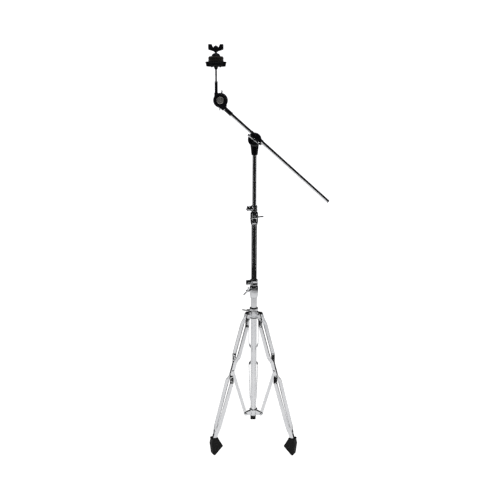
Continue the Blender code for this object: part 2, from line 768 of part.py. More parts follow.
def column(stand):
    """The telescoping tubes. Returns the frame of the upper tube, level with the floor."""
    base_top = BASE_BOTTOM + BASE_LENGTH
    base = tube("base_tube", BASE_RADIUS, BASE_RADIUS - BASE_WALL, BASE_BOTTOM, base_top, CHROME)
    put(base, stand)
    put(tube_plug(), stand, (0, 0, BASE_BOTTOM))
    rest = add_clamp(
        "base", stand, base_top, BASE_RADIUS, MIDDLE_RADIUS, BASE_CLAMP_TURN, 52, 0.050
    )
    lock_height = rest + LOCK_LIFT
    swivel = add_lock("middle", stand, lock_height, MIDDLE_RADIUS, MIDDLE_LOCK_TURN, 0.026, 0)
    middle = frame("middle_height_axis", swivel, (0, 0, -lock_height))
    middle_top = MIDDLE_BOTTOM + MIDDLE_LENGTH
    inner = MIDDLE_RADIUS - MIDDLE_WALL
    put(tube("middle_tube", MIDDLE_RADIUS, inner, MIDDLE_BOTTOM, middle_top, CHROME), middle)
    rest = add_clamp(
        "middle", middle, middle_top, MIDDLE_RADIUS, UPPER_RADIUS, MIDDLE_CLAMP_TURN, 8, 0.056
    )
    lock_height = rest + LOCK_LIFT
    swivel = add_lock("upper", middle, lock_height, UPPER_RADIUS, UPPER_LOCK_TURN, 0.030, 0)
    upper = frame("upper_height_axis", swivel, (0, 0, -lock_height))
    upper_top = BOOM_HEIGHT + SOCKET_BOTTOM + SOCKET_DEPTH - SOCKET_END_GAP
    inner = UPPER_RADIUS - UPPER_WALL
    put(tube("upper_tube", UPPER_RADIUS, inner, UPPER_BOTTOM, upper_top, CHROME), upper)
    return upper


def tube_plug():
    """The cap in the base tube's lower end, with its flat face at the bottom."""
    inner = BASE_RADIUS - BASE_WALL - GAP
    profile = [
        (0, 0.014),
        (inner - 0.001, 0.014),
        (inner, 0.012),
        (inner, -GAP),
        (BASE_RADIUS, -GAP),
        (BASE_RADIUS, -0.003),
        (BASE_RADIUS - 0.001, -0.004),
        (0, -0.004),
    ]
    return turned("tube_plug", profile, NYLON)


# Boom joint


def boom_socket():
    """The black socket on the upper tube with its fixed disc. Origin on the boom's tilt axis."""
    bottom = SOCKET_BOTTOM
    top = SOCKET_TOP
    bore = UPPER_RADIUS + GAP
    profile = [
        (0, top + 0.006),
        (0.7 * SOCKET_TOP_RADIUS, top + 0.004),
        (0.93 * SOCKET_TOP_RADIUS, top + 0.001),
        (SOCKET_TOP_RADIUS, top - 0.003),
        (SOCKET_FOOT_RADIUS, bottom + 0.0015),
        (SOCKET_FOOT_RADIUS - 0.001, bottom),
        (bore, bottom),
        (bore, bottom + SOCKET_DEPTH),
        (0, bottom + SOCKET_DEPTH),
    ]
    socket = turned("boom_socket", profile, BLACK_METAL)
    front = SOCKET_DISC_BACK - SOCKET_DISC_THICKNESS
    disc = rod("disc", SOCKET_DISC, -SOCKET_DISC_BACK, -front, None, ROUND)
    forward = (math.pi / 2, 0, 0)
    weld_on(socket, (disc, (0, 0, 0), forward))
    scoop = drill(CAP_RADIUS + GAP, -front, 0.05, turn=forward, sides=ROUND)
    return cut_out(socket, scoop, drill(BOLT_RADIUS + GAP, -0.02, 0.02, turn=forward))


def hub_front():
    """How far forward of the column the boom hub's front face lies."""
    return SOCKET_DISC_THICKNESS - SOCKET_DISC_BACK + GAP + HUB_THICKNESS


def arm_forward():
    return SOCKET_DISC_THICKNESS - SOCKET_DISC_BACK + GAP + HUB_THICKNESS / 2


def boom_hub():
    """The half that turns, bored for the arm's sleeve. Its own Z points forward."""
    back = SOCKET_DISC_THICKNESS - SOCKET_DISC_BACK + GAP
    hub = rod("boom_hub", HUB_RADIUS, back, hub_front(), BLACK_METAL, ROUND)
    bore = ARM_RADIUS + GAP + SLEEVE_WALL + GAP
    across = drill(bore, -0.05, 0.05, (0, ARM_OFFSET, arm_forward()), (0, math.pi / 2, 0), ROUND)
    return cut_out(hub, across, drill(BOLT_RADIUS + GAP, 0, 0.05))


def hub_cap():
    back = hub_front() + GAP
    hole = BOLT_RADIUS + GAP
    profile = [
        (hole, back + CAP_THICKNESS),
        (0.55 * CAP_RADIUS, back + 0.95 * CAP_THICKNESS),
        (0.86 * CAP_RADIUS, back + 0.75 * CAP_THICKNESS),
        (CAP_RADIUS, back + 0.3 * CAP_THICKNESS),
        (CAP_RADIUS, back),
        (hole, back),
    ]
    return turned("hub_cap", profile, BLACK_METAL, 32)


def boom_joint(upper):
    """Returns the frame that tilts. In it X runs down the arm and Z is square to it."""
    put(boom_socket(), upper, (0, 0, BOOM_HEIGHT))
    tilt = frame("boom_tilt_axis", upper, (0, 0, BOOM_HEIGHT), (0, BOOM_ANGLE, 0))
    forward = (math.pi / 2, 0, 0)
    put(boom_hub(), tilt, turn=forward)
    put(hub_cap(), tilt, turn=forward)
    seat = hub_front() + GAP + CAP_THICKNESS + GAP
    bolt_axis = frame("boom_bolt_axis", tilt, turn=aim((0, -1, 0), 4))
    shank = seat + SOCKET_DISC_BACK + 0.001
    put(wing_bolt("boom_wing_bolt", shank, 0.066, 0.013, 0.0045, 0.0085), bolt_axis, (0, 0, seat))
    return tilt


def boom(tilt):
    """The arm with its sleeve and ferrule. Returns the frame that slides with the arm."""
    down_arm = (0, math.pi / 2, 0)
    roll = frame("boom_roll_axis", tilt, (0, -arm_forward(), ARM_OFFSET))
    sleeve_inner = ARM_RADIUS + GAP
    sleeve = tube(
        "boom_sleeve", sleeve_inner + SLEEVE_WALL, sleeve_inner, -SLEEVE_HALF, SLEEVE_HALF, CHROME
    )
    put(sleeve, roll, turn=down_arm)
    slide = frame("boom_slide_axis", roll)
    inner = ARM_RADIUS - ARM_WALL
    arm = tube("boom_arm", ARM_RADIUS, inner, -ARM_UPPER, ARM_LOWER, CHROME)
    put(arm, slide, turn=down_arm)
    plug_profile = [
        (0, 0.004),
        (ARM_RADIUS - 0.001, 0.004),
        (ARM_RADIUS, 0.003),
        (ARM_RADIUS, GAP),
        (inner - GAP, GAP),
        (inner - GAP, -0.012),
        (0, -0.012),
    ]
    put(turned("boom_end_plug", plug_profile, NYLON), slide, (ARM_LOWER, 0, 0), down_arm)
    tail = HOUSING_TAIL - TILTER_ALONG
    start = tail + GAP
    bore = ARM_RADIUS + GAP
    profile = [
        (FERRULE_RADIUS - 0.0006, start + FERRULE_LENGTH),
        (FERRULE_RADIUS - 0.0006, start + FERRULE_LENGTH - 0.0015),
        (FERRULE_RADIUS, start + FERRULE_LENGTH - 0.0022),
        (FERRULE_RADIUS, start),
        (bore, start),
        (bore, start + FERRULE_LENGTH),
    ]
    put(turned("ferrule", profile, NYLON), slide, turn=down_arm)
    return slide


# Seat tilter


def housing_outline():
    """A round head with a tail that takes the arm: X down the arm, Y square to it."""
    low = -TILTER_OFFSET - HOUSING_TAIL_HALF
    high = -TILTER_OFFSET + HOUSING_TAIL_HALF
    head = arc((0, 0), HOUSING_RADIUS, 42, 270, 18)
    return head + [(HOUSING_TAIL, low), (HOUSING_TAIL, high)]


def tilter_housing():
    """The fixed half on the arm. Its own Z points forward, from its back face at Z = 0."""
    body = plate("tilter_housing", [housing_outline()], HOUSING_DEPTH, BLACK_METAL)
    bevel(body, 0.0022, 2, 50)
    arm_end = (TILTER_ALONG - ARM_UPPER - GAP, -TILTER_OFFSET, 0)
    bore = drill(ARM_RADIUS + GAP, 0, 0.05, arm_end, (0, math.pi / 2, 0), ROUND)
    hole = drill(BOLT_RADIUS + GAP, -0.02, HOUSING_DEPTH / 2 - 0.003)
    return cut_out(body, bore, hole)


def tilter_badge():
    rim = BADGE_RADIUS
    profile = [
        (0, 0.8 * BADGE_THICKNESS),
        (0.72 * rim, 0.8 * BADGE_THICKNESS),
        (0.80 * rim, BADGE_THICKNESS),
        (0.92 * rim, BADGE_THICKNESS),
        (rim, 0.5 * BADGE_THICKNESS),
        (rim, 0),
        (0, 0),
    ]
    return turned("tilter_badge", profile, BADGE)


def rod_hub():
    """The disc that carries the seat rod. Its own Z points forward, from its back face."""
    hub = rod("rod_hub", ROD_HUB_RADIUS, 0, ROD_HUB_THICKNESS, BLACK_METAL, 32)
    bevel(hub, 0.0015)
    depth = ROD_HUB_THICKNESS - ROD_BOSS_RADIUS
    boss = rod("boss", ROD_BOSS_RADIUS, -0.004, ROD_BOSS_TOP, None, 16)
    up = (-math.pi / 2, 0, 0)
    at = (-ROD_OFFSET, 0, depth)
    weld_on(hub, (boss, at, up))
    socket = drill(ROD_SLEEVE_RADIUS + GAP, ROD_HUB_SOCKET, 0.05, at, up, 16)
    return cut_out(hub, socket, drill(BOLT_RADIUS + GAP, -0.02, 0.05))


def seat_tilter(slide):
    """Returns the frame that tilts with the seat rod, upright like the rod, and the rod's place."""
    forward = (math.pi / 2, 0, 0)
    at = (-TILTER_ALONG, 0, TILTER_OFFSET)
    put(tilter_housing(), slide, at, forward)
    front = HOUSING_DEPTH / 2
    badge_at = (-TILTER_ALONG, -front - GAP, TILTER_OFFSET)
    put(tilter_badge(), slide, badge_at, forward)
    tilt = frame("seat_tilt_axis", slide, at, (0, -BOOM_ANGLE, 0))
    rim_front = -front - GAP
    rim_inner = ROD_HUB_RADIUS * 0.55
    rim = tube("ratchet_rim", RIM_RADIUS, rim_inner, rim_front - RIM_THICKNESS, rim_front, CHROME, 32)
    put(rim, tilt, turn=forward)
    hub_back = rim_front - RIM_THICKNESS - GAP - ROD_HUB_THICKNESS
    put(rod_hub(), tilt, (0, -hub_back, 0), forward)
    bolt_axis = frame("tilter_bolt_axis", tilt, turn=aim((0, 1, 0), 98))
    seat = -hub_back + GAP
    shank = seat + front - 0.004
    put(wing_bolt("tilter_wing_bolt", shank, 0.078, 0.016, 0.0045), bolt_axis, (0, 0, seat))
    return tilt, (-ROD_OFFSET, ROD_BOSS_RADIUS - hub_back - ROD_HUB_THICKNESS, 0)


# Seat


def seat_cup():
    bore = ROD_RADIUS + GAP
    top = CUP_HEIGHT
    lip = CUP_TOP_RADIUS - CUP_LIP
    profile = [
        (CUP_TOP_RADIUS, top),
        (CUP_TOP_RADIUS, top - 0.0022),
        (CUP_TOP_RADIUS - 0.0016, top - 0.005),
        (CUP_FOOT_RADIUS, 0.0012),
        (CUP_FOOT_RADIUS - 0.0012, 0),
        (0.0085, 0),
        (bore + 0.0012, -CUP_CONE),
        (bore, -CUP_CONE),
        (bore, top - CUP_RECESS),
        (lip - 0.0012, top - CUP_RECESS),
        (lip, top),
    ]
    cup = turned("seat_cup", profile, NYLON, 28)
    for degrees in (0, 90, 180, 270):
        nub = rod("nub", NUB_RADIUS, -NUB_DROP, 0.002, None, 6)
        weld_on(cup, (nub, polar(NUB_RING, degrees), (0, 0, 0)))
    return cup


def felt(name, shoulder):
    """A felt disc, with its upper edge rounded off by the shoulder."""
    bore = BUSHING_RADIUS + GAP
    top = FELT_HEIGHT
    edge = arc((FELT_RADIUS - shoulder, top - shoulder), shoulder, 90, 0, 3)
    profile = [*edge, (FELT_RADIUS, 0), (bore, 0), (bore, top)]
    return turned(name, profile, FELT)


def top_washer():
    """A domed washer that covers the end of the rod's bushing."""
    bore = BUSHING_RADIUS + GAP
    crown = ROD_RADIUS + GAP
    under_crown = WASHER_HEIGHT - 0.004
    profile = [
        (crown, WASHER_HEIGHT),
        (0.45 * WASHER_RADIUS, 0.98 * WASHER_HEIGHT),
        (0.70 * WASHER_RADIUS, 0.82 * WASHER_HEIGHT),
        (0.90 * WASHER_RADIUS, 0.48 * WASHER_HEIGHT),
        (WASHER_RADIUS, 0.14 * WASHER_HEIGHT),
        (WASHER_RADIUS, 0),
        (bore, 0),
        (bore, under_crown),
        (crown, under_crown),
    ]
    return turned("top_washer", profile, BLACK_METAL)


def wing_nut():
    """The nut on top, its lower face at Z = 0."""
    bore = ROD_RADIUS + GAP
    base = NUT_NECK
    boss = base + NUT_BOSS_HEIGHT
    profile = [
        (NUT_BOSS_RADIUS * 0.55, boss),
        (NUT_BOSS_RADIUS * 0.85, boss - 0.0015),
        (NUT_BOSS_RADIUS, base + 0.007),
        (NUT_NECK_RADIUS + 0.002, base),
        (NUT_NECK_RADIUS, base),
        (NUT_NECK_RADIUS, 0),
        (bore, 0),
        (bore, boss),
    ]
    nut = turned("wing_nut", profile, NYLON, 16)
    side = [
        (bore + 0.0015, base + 0.0015),
        (NUT_HALF_SPAN - 0.0035, base + 0.0075),
        (NUT_HALF_SPAN - 0.0012, base + 0.010),
        (NUT_HALF_SPAN, base + NUT_EAR_HEIGHT - 0.002),
        (NUT_HALF_SPAN - 0.0015, base + NUT_EAR_HEIGHT),
        (NUT_HALF_SPAN - 0.012, base + NUT_EAR_HEIGHT),
        (NUT_HALF_SPAN - 0.0145, base + NUT_EAR_HEIGHT - 0.002),
        (NUT_BOSS_RADIUS, base + 0.0165),
        (bore + 0.0015, base + 0.0165),
    ]
    for sign in (1, -1):
        ear = plate("ear", [[(sign * x, z) for x, z in side]], NUT_EAR_THICKNESS, None)
        bevel(ear, 0.0014, degrees=50)
        weld_on_rounded(nut, (ear, (0, 0, 0), (math.pi / 2, 0, 0)))
    return nut


def felt_floor():
    return CUP_BOTTOM + CUP_HEIGHT - CUP_RECESS + GAP


def nut_foot():
    return felt_floor() + 2 * (FELT_HEIGHT + GAP) + WASHER_HEIGHT + GAP


def rod_top():
    return nut_foot() + NUT_NECK + NUT_BOSS_HEIGHT + ROD_SHOWS


def seat(tilt, place):
    """The rod and what is stacked on it."""
    x, y, _ = place
    stack = frame("seat_stack", tilt, (x, y, 0))
    bore = ROD_RADIUS + GAP
    sleeve_foot = ROD_HUB_SOCKET + GAP
    sleeve = tube("rod_sleeve", ROD_SLEEVE_RADIUS, bore, sleeve_foot, ROD_SLEEVE_TOP, BLACK_METAL, 16)
    put(sleeve, stack)
    put(rod("seat_rod", ROD_RADIUS, sleeve_foot, rod_top(), CHROME, 12), stack)
    put(seat_cup(), stack, (0, 0, CUP_BOTTOM))
    floor = felt_floor()
    put(felt("lower_felt", 0.0012), stack, (0, 0, floor))
    bushing_top = floor + 2 * (FELT_HEIGHT + GAP) + BUSHING_OVER
    put(tube("rod_bushing", BUSHING_RADIUS, bore, floor, bushing_top, NYLON, 16), stack)
    middle = floor + FELT_HEIGHT + GAP
    put(felt("upper_felt", FELT_SHOULDER), stack, (0, 0, middle))
    put(top_washer(), stack, (0, 0, middle + FELT_HEIGHT + GAP))
    nut_axis = frame("wing_nut_axis", stack, (0, 0, nut_foot()))
    put(wing_nut(), nut_axis)


def stand_on_floor(stand):
    """Moves the whole so that its box's bottom centre is at the origin."""
    graph = bpy.context.evaluated_depsgraph_get()
    points = []
    for obj in PARTS.objects:
        if obj.type == "MESH":
            placed = obj.evaluated_get(graph)
            mesh = placed.to_mesh()
            points += [placed.matrix_world @ vert.co for vert in mesh.vertices]
            placed.to_mesh_clear()
    sides = [[point[i] for point in points] for i in range(3)]
    (left, front, floor), (right, back, _) = [min(s) for s in sides], [max(s) for s in sides]
    stand.location = (-(left + right) / 2, -(front + back) / 2, -floor)


def main():
    stand = frame("stand")
    tripod(stand)
    upper = column(stand)
    tilt = boom_joint(upper)
    slide = boom(tilt)
    seat_frame, rod_place = seat_tilter(slide)
    seat(seat_frame, rod_place)
    stand_on_floor(stand)


main()
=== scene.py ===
# %% [markdown]
# # A boom cymbal stand, finished
# The working model of the stand is already made: sixty plain solids, grouped in the bodies that its
# joints move. Here each solid gets the surface of the real piece. Most of the stand is chromed steel
# tube and casting, so a piece is first rebuilt round and smooth in the place its solid holds, and
# then gets its finish. Nothing is moved or resized.

import json
import math

import bmesh
import bpy
from mathutils import Matrix, Vector, noise


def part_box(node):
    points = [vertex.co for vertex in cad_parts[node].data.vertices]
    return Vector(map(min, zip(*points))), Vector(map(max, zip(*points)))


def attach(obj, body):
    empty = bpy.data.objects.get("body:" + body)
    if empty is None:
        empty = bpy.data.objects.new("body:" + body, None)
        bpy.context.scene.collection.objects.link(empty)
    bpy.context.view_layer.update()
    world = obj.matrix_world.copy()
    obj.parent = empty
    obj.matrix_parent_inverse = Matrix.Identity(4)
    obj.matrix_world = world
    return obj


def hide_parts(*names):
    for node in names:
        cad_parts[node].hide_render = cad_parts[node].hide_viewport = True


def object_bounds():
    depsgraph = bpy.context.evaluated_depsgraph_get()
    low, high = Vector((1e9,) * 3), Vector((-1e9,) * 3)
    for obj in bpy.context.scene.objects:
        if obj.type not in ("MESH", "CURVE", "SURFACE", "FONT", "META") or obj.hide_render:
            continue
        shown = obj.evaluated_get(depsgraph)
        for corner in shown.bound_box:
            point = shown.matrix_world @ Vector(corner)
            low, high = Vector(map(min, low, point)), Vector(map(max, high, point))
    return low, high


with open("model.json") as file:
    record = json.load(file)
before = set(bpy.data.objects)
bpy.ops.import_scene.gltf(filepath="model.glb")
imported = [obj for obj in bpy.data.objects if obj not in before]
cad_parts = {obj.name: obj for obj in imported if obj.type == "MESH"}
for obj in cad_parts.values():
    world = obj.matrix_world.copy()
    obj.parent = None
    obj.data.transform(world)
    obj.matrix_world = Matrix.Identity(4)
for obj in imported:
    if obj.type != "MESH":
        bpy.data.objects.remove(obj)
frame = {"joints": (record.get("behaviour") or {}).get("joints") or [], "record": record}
cad_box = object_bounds()
print("stand:", [round(high - low, 4) for low, high in zip(*cad_box)])

# %% [markdown]
# ## Where things are
# Every joint in the frame says where its axis lies, and every solid says what box it fills. The
# column is found from the base tube's box, and all other places follow from the joints.

# %% Read the joints and the column
JOINTS = {joint["name"]: joint for joint in frame["joints"]}
BODY_OF = {node: body for body, nodes in frame["record"]["behaviour"]["bodies"].items() for node in nodes}


def axis_place(joint_name):
    joint = JOINTS[joint_name]
    return Vector(joint["pos_m"]), Vector(joint["axis"]).normalized()


def box_of(node):
    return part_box(node)


def middle_of(node):
    low, high = box_of(node)
    return (low + high) / 2


COLUMN = middle_of("base_tube")
COLUMN.z = 0
print("column stands at", tuple(round(value, 4) for value in COLUMN))

# %% [markdown]
# ## The camera
# The stand is tall and thin, so the camera stands well back, a little above the boom clamp, and
# looks slightly down. A lens near 43 mm from 2.4 m keeps the tripod's legs spreading as they do.

# %% Place the camera
CAMERA_DISTANCE = 2.4
CAMERA_ABOVE_CLAMP = 0.1377
CAMERA_PITCH = math.radians(13.71)
CAMERA_ROLL = math.radians(0.18)
CAMERA_SIDE_STEP = -0.0168

camera_data = bpy.data.cameras.new("camera")
camera_data.lens = 43.39
camera_data.sensor_width = 36
camera = bpy.data.objects.new("camera", camera_data)
bpy.context.scene.collection.objects.link(camera)
clamp_height = axis_place("boom_tilt")[0].z
camera.location = COLUMN + Vector((CAMERA_SIDE_STEP, -CAMERA_DISTANCE, clamp_height + CAMERA_ABOVE_CLAMP))
tilt_down = Matrix.Rotation(math.pi / 2 - CAMERA_PITCH, 3, "X")
camera.rotation_euler = (tilt_down @ Matrix.Rotation(CAMERA_ROLL, 3, "Z")).to_euler()
bpy.context.scene.camera = camera
bpy.context.scene.view_settings.view_transform = "Standard"
print("camera at", tuple(round(value, 3) for value in camera.location))

# %% [markdown]
# ## Shader maths in Python
# A node tree is easier to read as an expression. `Wire` wraps a socket and overloads the operators,
# so that `1 - mask` adds a Math node. `Look` is one material: its method `node` adds any other node
# from its type, its settings and what feeds its sockets.


# %% Wrap sockets and materials
class Wire:
    def __init__(self, look, socket):
        self.look = look
        self.socket = socket

    def maths(self, operation, first, second):
        return self.look.node("ShaderNodeMath", {"operation": operation}, {0: first, 1: second})

    def __add__(self, other):
        return self.maths("ADD", self, other)

    def __radd__(self, other):
        return self.maths("ADD", other, self)

    def __sub__(self, other):
        return self.maths("SUBTRACT", self, other)

    def __rsub__(self, other):
        return self.maths("SUBTRACT", other, self)

    def __mul__(self, other):
        return self.maths("MULTIPLY", self, other)

    def __rmul__(self, other):
        return self.maths("MULTIPLY", other, self)


class Look:
    """The nodes of a material, or of the world where one is given."""

    def __init__(self, name, world=None):
        self.material = world or bpy.data.materials.new(name)
        self.material.use_nodes = True
        self.tree = self.material.node_tree
        self.shader = self.tree.nodes.get("Principled BSDF")

    def node(self, kind, settings=None, feeds=None, output=0):
        made = self.tree.nodes.new(kind)
        for name, value in (settings or {}).items():
            if name == "stops":
                ramp = made.color_ramp
                for element, (place, shade) in zip(ramp.elements, value):
                    element.position = place
                    element.color = (shade, shade, shade, 1)
            else:
                setattr(made, name, value)
        self.feed(made, feeds or {})
        return Wire(self, made.outputs[output])

    def feed(self, node, feeds):
        for name, value in feeds.items():
            if isinstance(value, Wire):
                self.tree.links.new(value.socket, node.inputs[name])
            else:
                node.inputs[name].default_value = value

    def finish(self, shader, output_name):
        self.tree.links.new(shader.socket, self.tree.nodes[output_name].inputs["Surface"])

    def surface(self, **feeds):
        self.feed(self.shader, {name.replace("_", " "): value for name, value in feeds.items()})

    def place(self, scale=(1, 1, 1)):
        """The piece's own coordinates in metres, stretched by a scale."""
        own = self.node("ShaderNodeTexCoord", output="Object")
        return self.node("ShaderNodeMapping", {}, {"Vector": own, "Scale": scale})

    def noise(self, scale, detail=4.0, roughness=0.5, stretch=(1, 1, 1)):
        feeds = {"Vector": self.place(stretch), "Scale": scale, "Detail": detail, "Roughness": roughness}
        return self.node("ShaderNodeTexNoise", {}, feeds)

    def between(self, value, low, high):
        """A value's middle range stretched to 0 at low and 1 at high."""
        stops = [(low, 0.0), (high, 1.0)]
        return self.node("ShaderNodeValToRGB", {"stops": stops}, {"Fac": value})

    def blend(self, mask, first, second):
        feeds = {"Factor": mask, 6: (*first, 1), 7: (*second, 1)}
        return self.node("ShaderNodeMix", {"data_type": "RGBA"}, feeds, 2)

    def bump(self, height, distance, strength=1.0):
        feeds = {"Height": height, "Distance": distance, "Strength": strength}
        self.surface(Normal=self.node("ShaderNodeBump", {}, feeds))


# %% [markdown]
# ## Chrome
# Chrome plate is a mirror. What tells a tube from a casting is how flat that mirror is: a drawn tube
# carries faint lines along its length, a casting is gently wavy, and a pressed strap is a little
# dull with rolled grain. Wiping marks show as soft patches that are slightly rougher.


# %% Mix the chrome finishes
CHROME_TINT = (0.90, 0.905, 0.915)
CHROME_SHADE = (0.80, 0.81, 0.83)


def chrome(name, base, wipe, grain_stretch, grain_scale, relief, shade=CHROME_SHADE):
    look = Look(name)
    smears = look.between(look.noise(9, 5, 0.6), 0.42, 0.72)
    grain = look.noise(grain_scale, 3, 0.55, grain_stretch)
    look.surface(
        Base_Color=look.blend(smears, CHROME_TINT, shade),
        Metallic=1.0,
        Roughness=base + wipe * smears + 0.5 * base * grain,
    )
    look.bump(grain, relief, 0.4)
    return look.material


TUBE_CHROME = chrome("tube_chrome", 0.045, 0.05, (1, 1, 0.03), 200, 0.0000015)
CAST_CHROME = chrome("cast_chrome", 0.06, 0.05, (1, 1, 1), 90, 0.000012)
PRESSED_CHROME = chrome("pressed_chrome", 0.11, 0.07, (1, 1, 0.04), 200, 0.000004)
RIVET_CHROME = chrome("rivet_chrome", 0.10, 0.08, (1, 1, 1), 300, 0.00003, (0.66, 0.67, 0.69))
print("chrome finishes:", TUBE_CHROME.name, CAST_CHROME.name, PRESSED_CHROME.name, RIVET_CHROME.name)

# %% [markdown]
# ## Black finishes
# The boom clamp and the tilter are die castings under gloss black lacquer, which has a fine
# orange-peel. The bushes, the ferrule, the cup and the wing nut are moulded nylon with a sandy
# grain. The feet are rubber, dull and dusty towards the floor.


# %% Mix the black finishes
def lacquer():
    look = Look("black_lacquer")
    peel = look.noise(420, 2, 0.5)
    haze = look.between(look.noise(40, 5, 0.6), 0.45, 0.75)
    look.surface(
        Base_Color=look.blend(haze, (0.004, 0.004, 0.005), (0.009, 0.009, 0.011)),
        Roughness=0.15 + 0.10 * haze,
        Specular_IOR_Level=0.4,
    )
    look.bump(peel, 0.00004, 0.4)
    return look.material


def nylon():
    look = Look("black_nylon")
    sand = look.noise(2200, 3, 0.6)
    wear = look.between(look.noise(60, 6, 0.65), 0.5, 0.8)
    look.surface(
        Base_Color=look.blend(wear, (0.004, 0.004, 0.005), (0.010, 0.010, 0.011)),
        Roughness=0.30 + 0.12 * sand + 0.12 * wear,
        Specular_IOR_Level=0.35,
    )
    look.bump(sand, 0.00004, 0.5)
    return look.material


def rubber():
    look = Look("foot_rubber")
    grain = look.noise(1400, 4, 0.6)
    dust = look.between(look.noise(70, 8, 0.7), 0.50, 0.85)
    scuffs = look.noise(260, 5, 0.6, (1, 0.15, 1))
    look.surface(
        Base_Color=look.blend(dust, (0.005, 0.005, 0.005), (0.020, 0.019, 0.018)),
        Roughness=0.62 + 0.2 * dust,
        Specular_IOR_Level=0.25,
    )
    look.bump(grain + 0.6 * scuffs, 0.00012, 0.6)
    return look.material


BLACK_LACQUER = lacquer()
BLACK_NYLON = nylon()
FOOT_RUBBER = rubber()
print("black finishes:", BLACK_LACQUER.name, BLACK_NYLON.name, FOOT_RUBBER.name)

# %% [markdown]
# ## Felt and badge
# Pressed felt is a mat of short fibres. Three scales of noise make it: tufts that pull together, the
# mat itself, and single fibres. A constant sheen gives it the soft pale edge that felt has. The badge
# is a plain satin disc, turned on a lathe, so its grain runs in rings.


# %% Mix felt and badge metal
def felt_look():
    look = Look("pressed_felt")
    tufts = look.noise(240, 5, 0.7)
    mat = look.noise(900, 6, 0.75)
    fibres = look.noise(2600, 2, 0.6, (1, 0.25, 1))
    pale = look.between(mat, 0.42, 0.78)
    look.surface(
        Base_Color=look.blend(pale, (0.006, 0.005, 0.004), (0.028, 0.022, 0.018)),
        Roughness=0.92,
        Specular_IOR_Level=0.2,
        Sheen_Weight=0.12,
        Sheen_Roughness=0.5,
    )
    look.bump(0.6 * tufts + 0.5 * mat + 0.3 * fibres, 0.0011, 0.9)
    return look.material


def badge_look():
    look = Look("badge_metal")
    rings = look.node(
        "ShaderNodeTexWave",
        {"wave_type": "RINGS", "rings_direction": "Z"},
        {"Vector": look.place(), "Scale": 900, "Distortion": 0.4, "Detail": 2},
    )
    look.surface(
        Base_Color=look.blend(look.noise(90), (0.60, 0.58, 0.54), (0.72, 0.70, 0.66)),
        Metallic=0.85,
        Roughness=0.24 + 0.12 * rings,
    )
    look.bump(rings, 0.00003, 0.5)
    return look.material


PRESSED_FELT = felt_look()
BADGE_METAL = badge_look()
print("felt and badge:", PRESSED_FELT.name, BADGE_METAL.name)

# %% [markdown]
# ## Tools for shapes
# Most pieces are turned, so a profile is spun round Z. Others are cut from a flat outline. Edges are
# broken with a small bevel, because no cast or drawn edge is sharp, and chrome shows a thin bright
# line there. Modifiers are settled into the mesh at once, and cutters are thrown away.

# %% Settle, turn, bevel
FINE = 96  # facets round a large piece
SMALL = 40


def new_object(name, mesh):
    piece = bpy.data.objects.new(name, mesh)
    bpy.context.scene.collection.objects.link(piece)
    return piece


def from_shape(name, shape):
    bmesh.ops.recalc_face_normals(shape, faces=shape.faces)
    mesh = bpy.data.meshes.new(name)
    shape.to_mesh(mesh)
    shape.free()
    return new_object(name, mesh)


def settle(piece):
    """Applies the piece's modifiers."""
    graph = bpy.context.evaluated_depsgraph_get()
    mesh = bpy.data.meshes.new_from_object(piece.evaluated_get(graph))
    piece.modifiers.clear()
    piece.data = mesh
    return piece


def rounded(piece, width, segments=2, degrees=30):
    step = piece.modifiers.new("edges", "BEVEL")
    step.width = width
    step.segments = segments
    step.limit_method = "ANGLE"
    step.angle_limit = math.radians(degrees)
    step.use_clamp_overlap = True
    return settle(piece)


def turned(name, profile, sides=FINE):
    """A closed solid from (radius, height) points; a profile that stays off the axis makes a ring."""
    shape = bmesh.new()
    ring = profile[0][0] > 0
    corners = [shape.verts.new((radius, 0, height)) for radius, height in profile]
    pairs = list(zip(corners, corners[1:]))
    if ring:
        pairs.append((corners[-1], corners[0]))
    edges = [shape.edges.new(pair) for pair in pairs]
    bmesh.ops.spin(
        shape, geom=corners + edges, axis=(0, 0, 1), cent=(0, 0, 0), angle=2 * math.pi, steps=sides
    )
    bmesh.ops.remove_doubles(shape, verts=shape.verts, dist=0.000002)
    return from_shape(name, shape)


def pipe(name, outer, inner, bottom, top, edge=0.0003, sides=FINE):
    """A tube with both ends' edges broken."""
    profile = [
        (outer - edge, top),
        (outer, top - edge),
        (outer, bottom + edge),
        (outer - edge, bottom),
        (inner + edge, bottom),
        (inner, bottom + edge),
        (inner, top - edge),
        (inner + edge, top),
    ]
    return turned(name, profile, sides)


def drum(name, radius, bottom, top, sides=SMALL, edge=0.0):
    """A short solid cylinder with its edges broken."""
    if edge:
        profile = [(0, top), (radius - edge, top), (radius, top - edge), (radius, bottom + edge)]
        return turned(name, profile + [(radius - edge, bottom), (0, bottom)], sides)
    return turned(name, [(0, top), (radius, top), (radius, bottom), (0, bottom)], sides)


def block(name, size, center=(0, 0, 0)):
    shape = bmesh.new()
    bmesh.ops.create_cube(shape, size=1)
    bmesh.ops.scale(shape, verts=shape.verts, vec=size)
    bmesh.ops.translate(shape, verts=shape.verts, vec=center)
    return from_shape(name, shape)


# %% Outlines, plates and cuts
def arc(center, radius, start, end, steps):
    turns = [math.radians(start + (end - start) * i / steps) for i in range(steps + 1)]
    return [(center[0] + radius * math.cos(t), center[1] + radius * math.sin(t)) for t in turns]


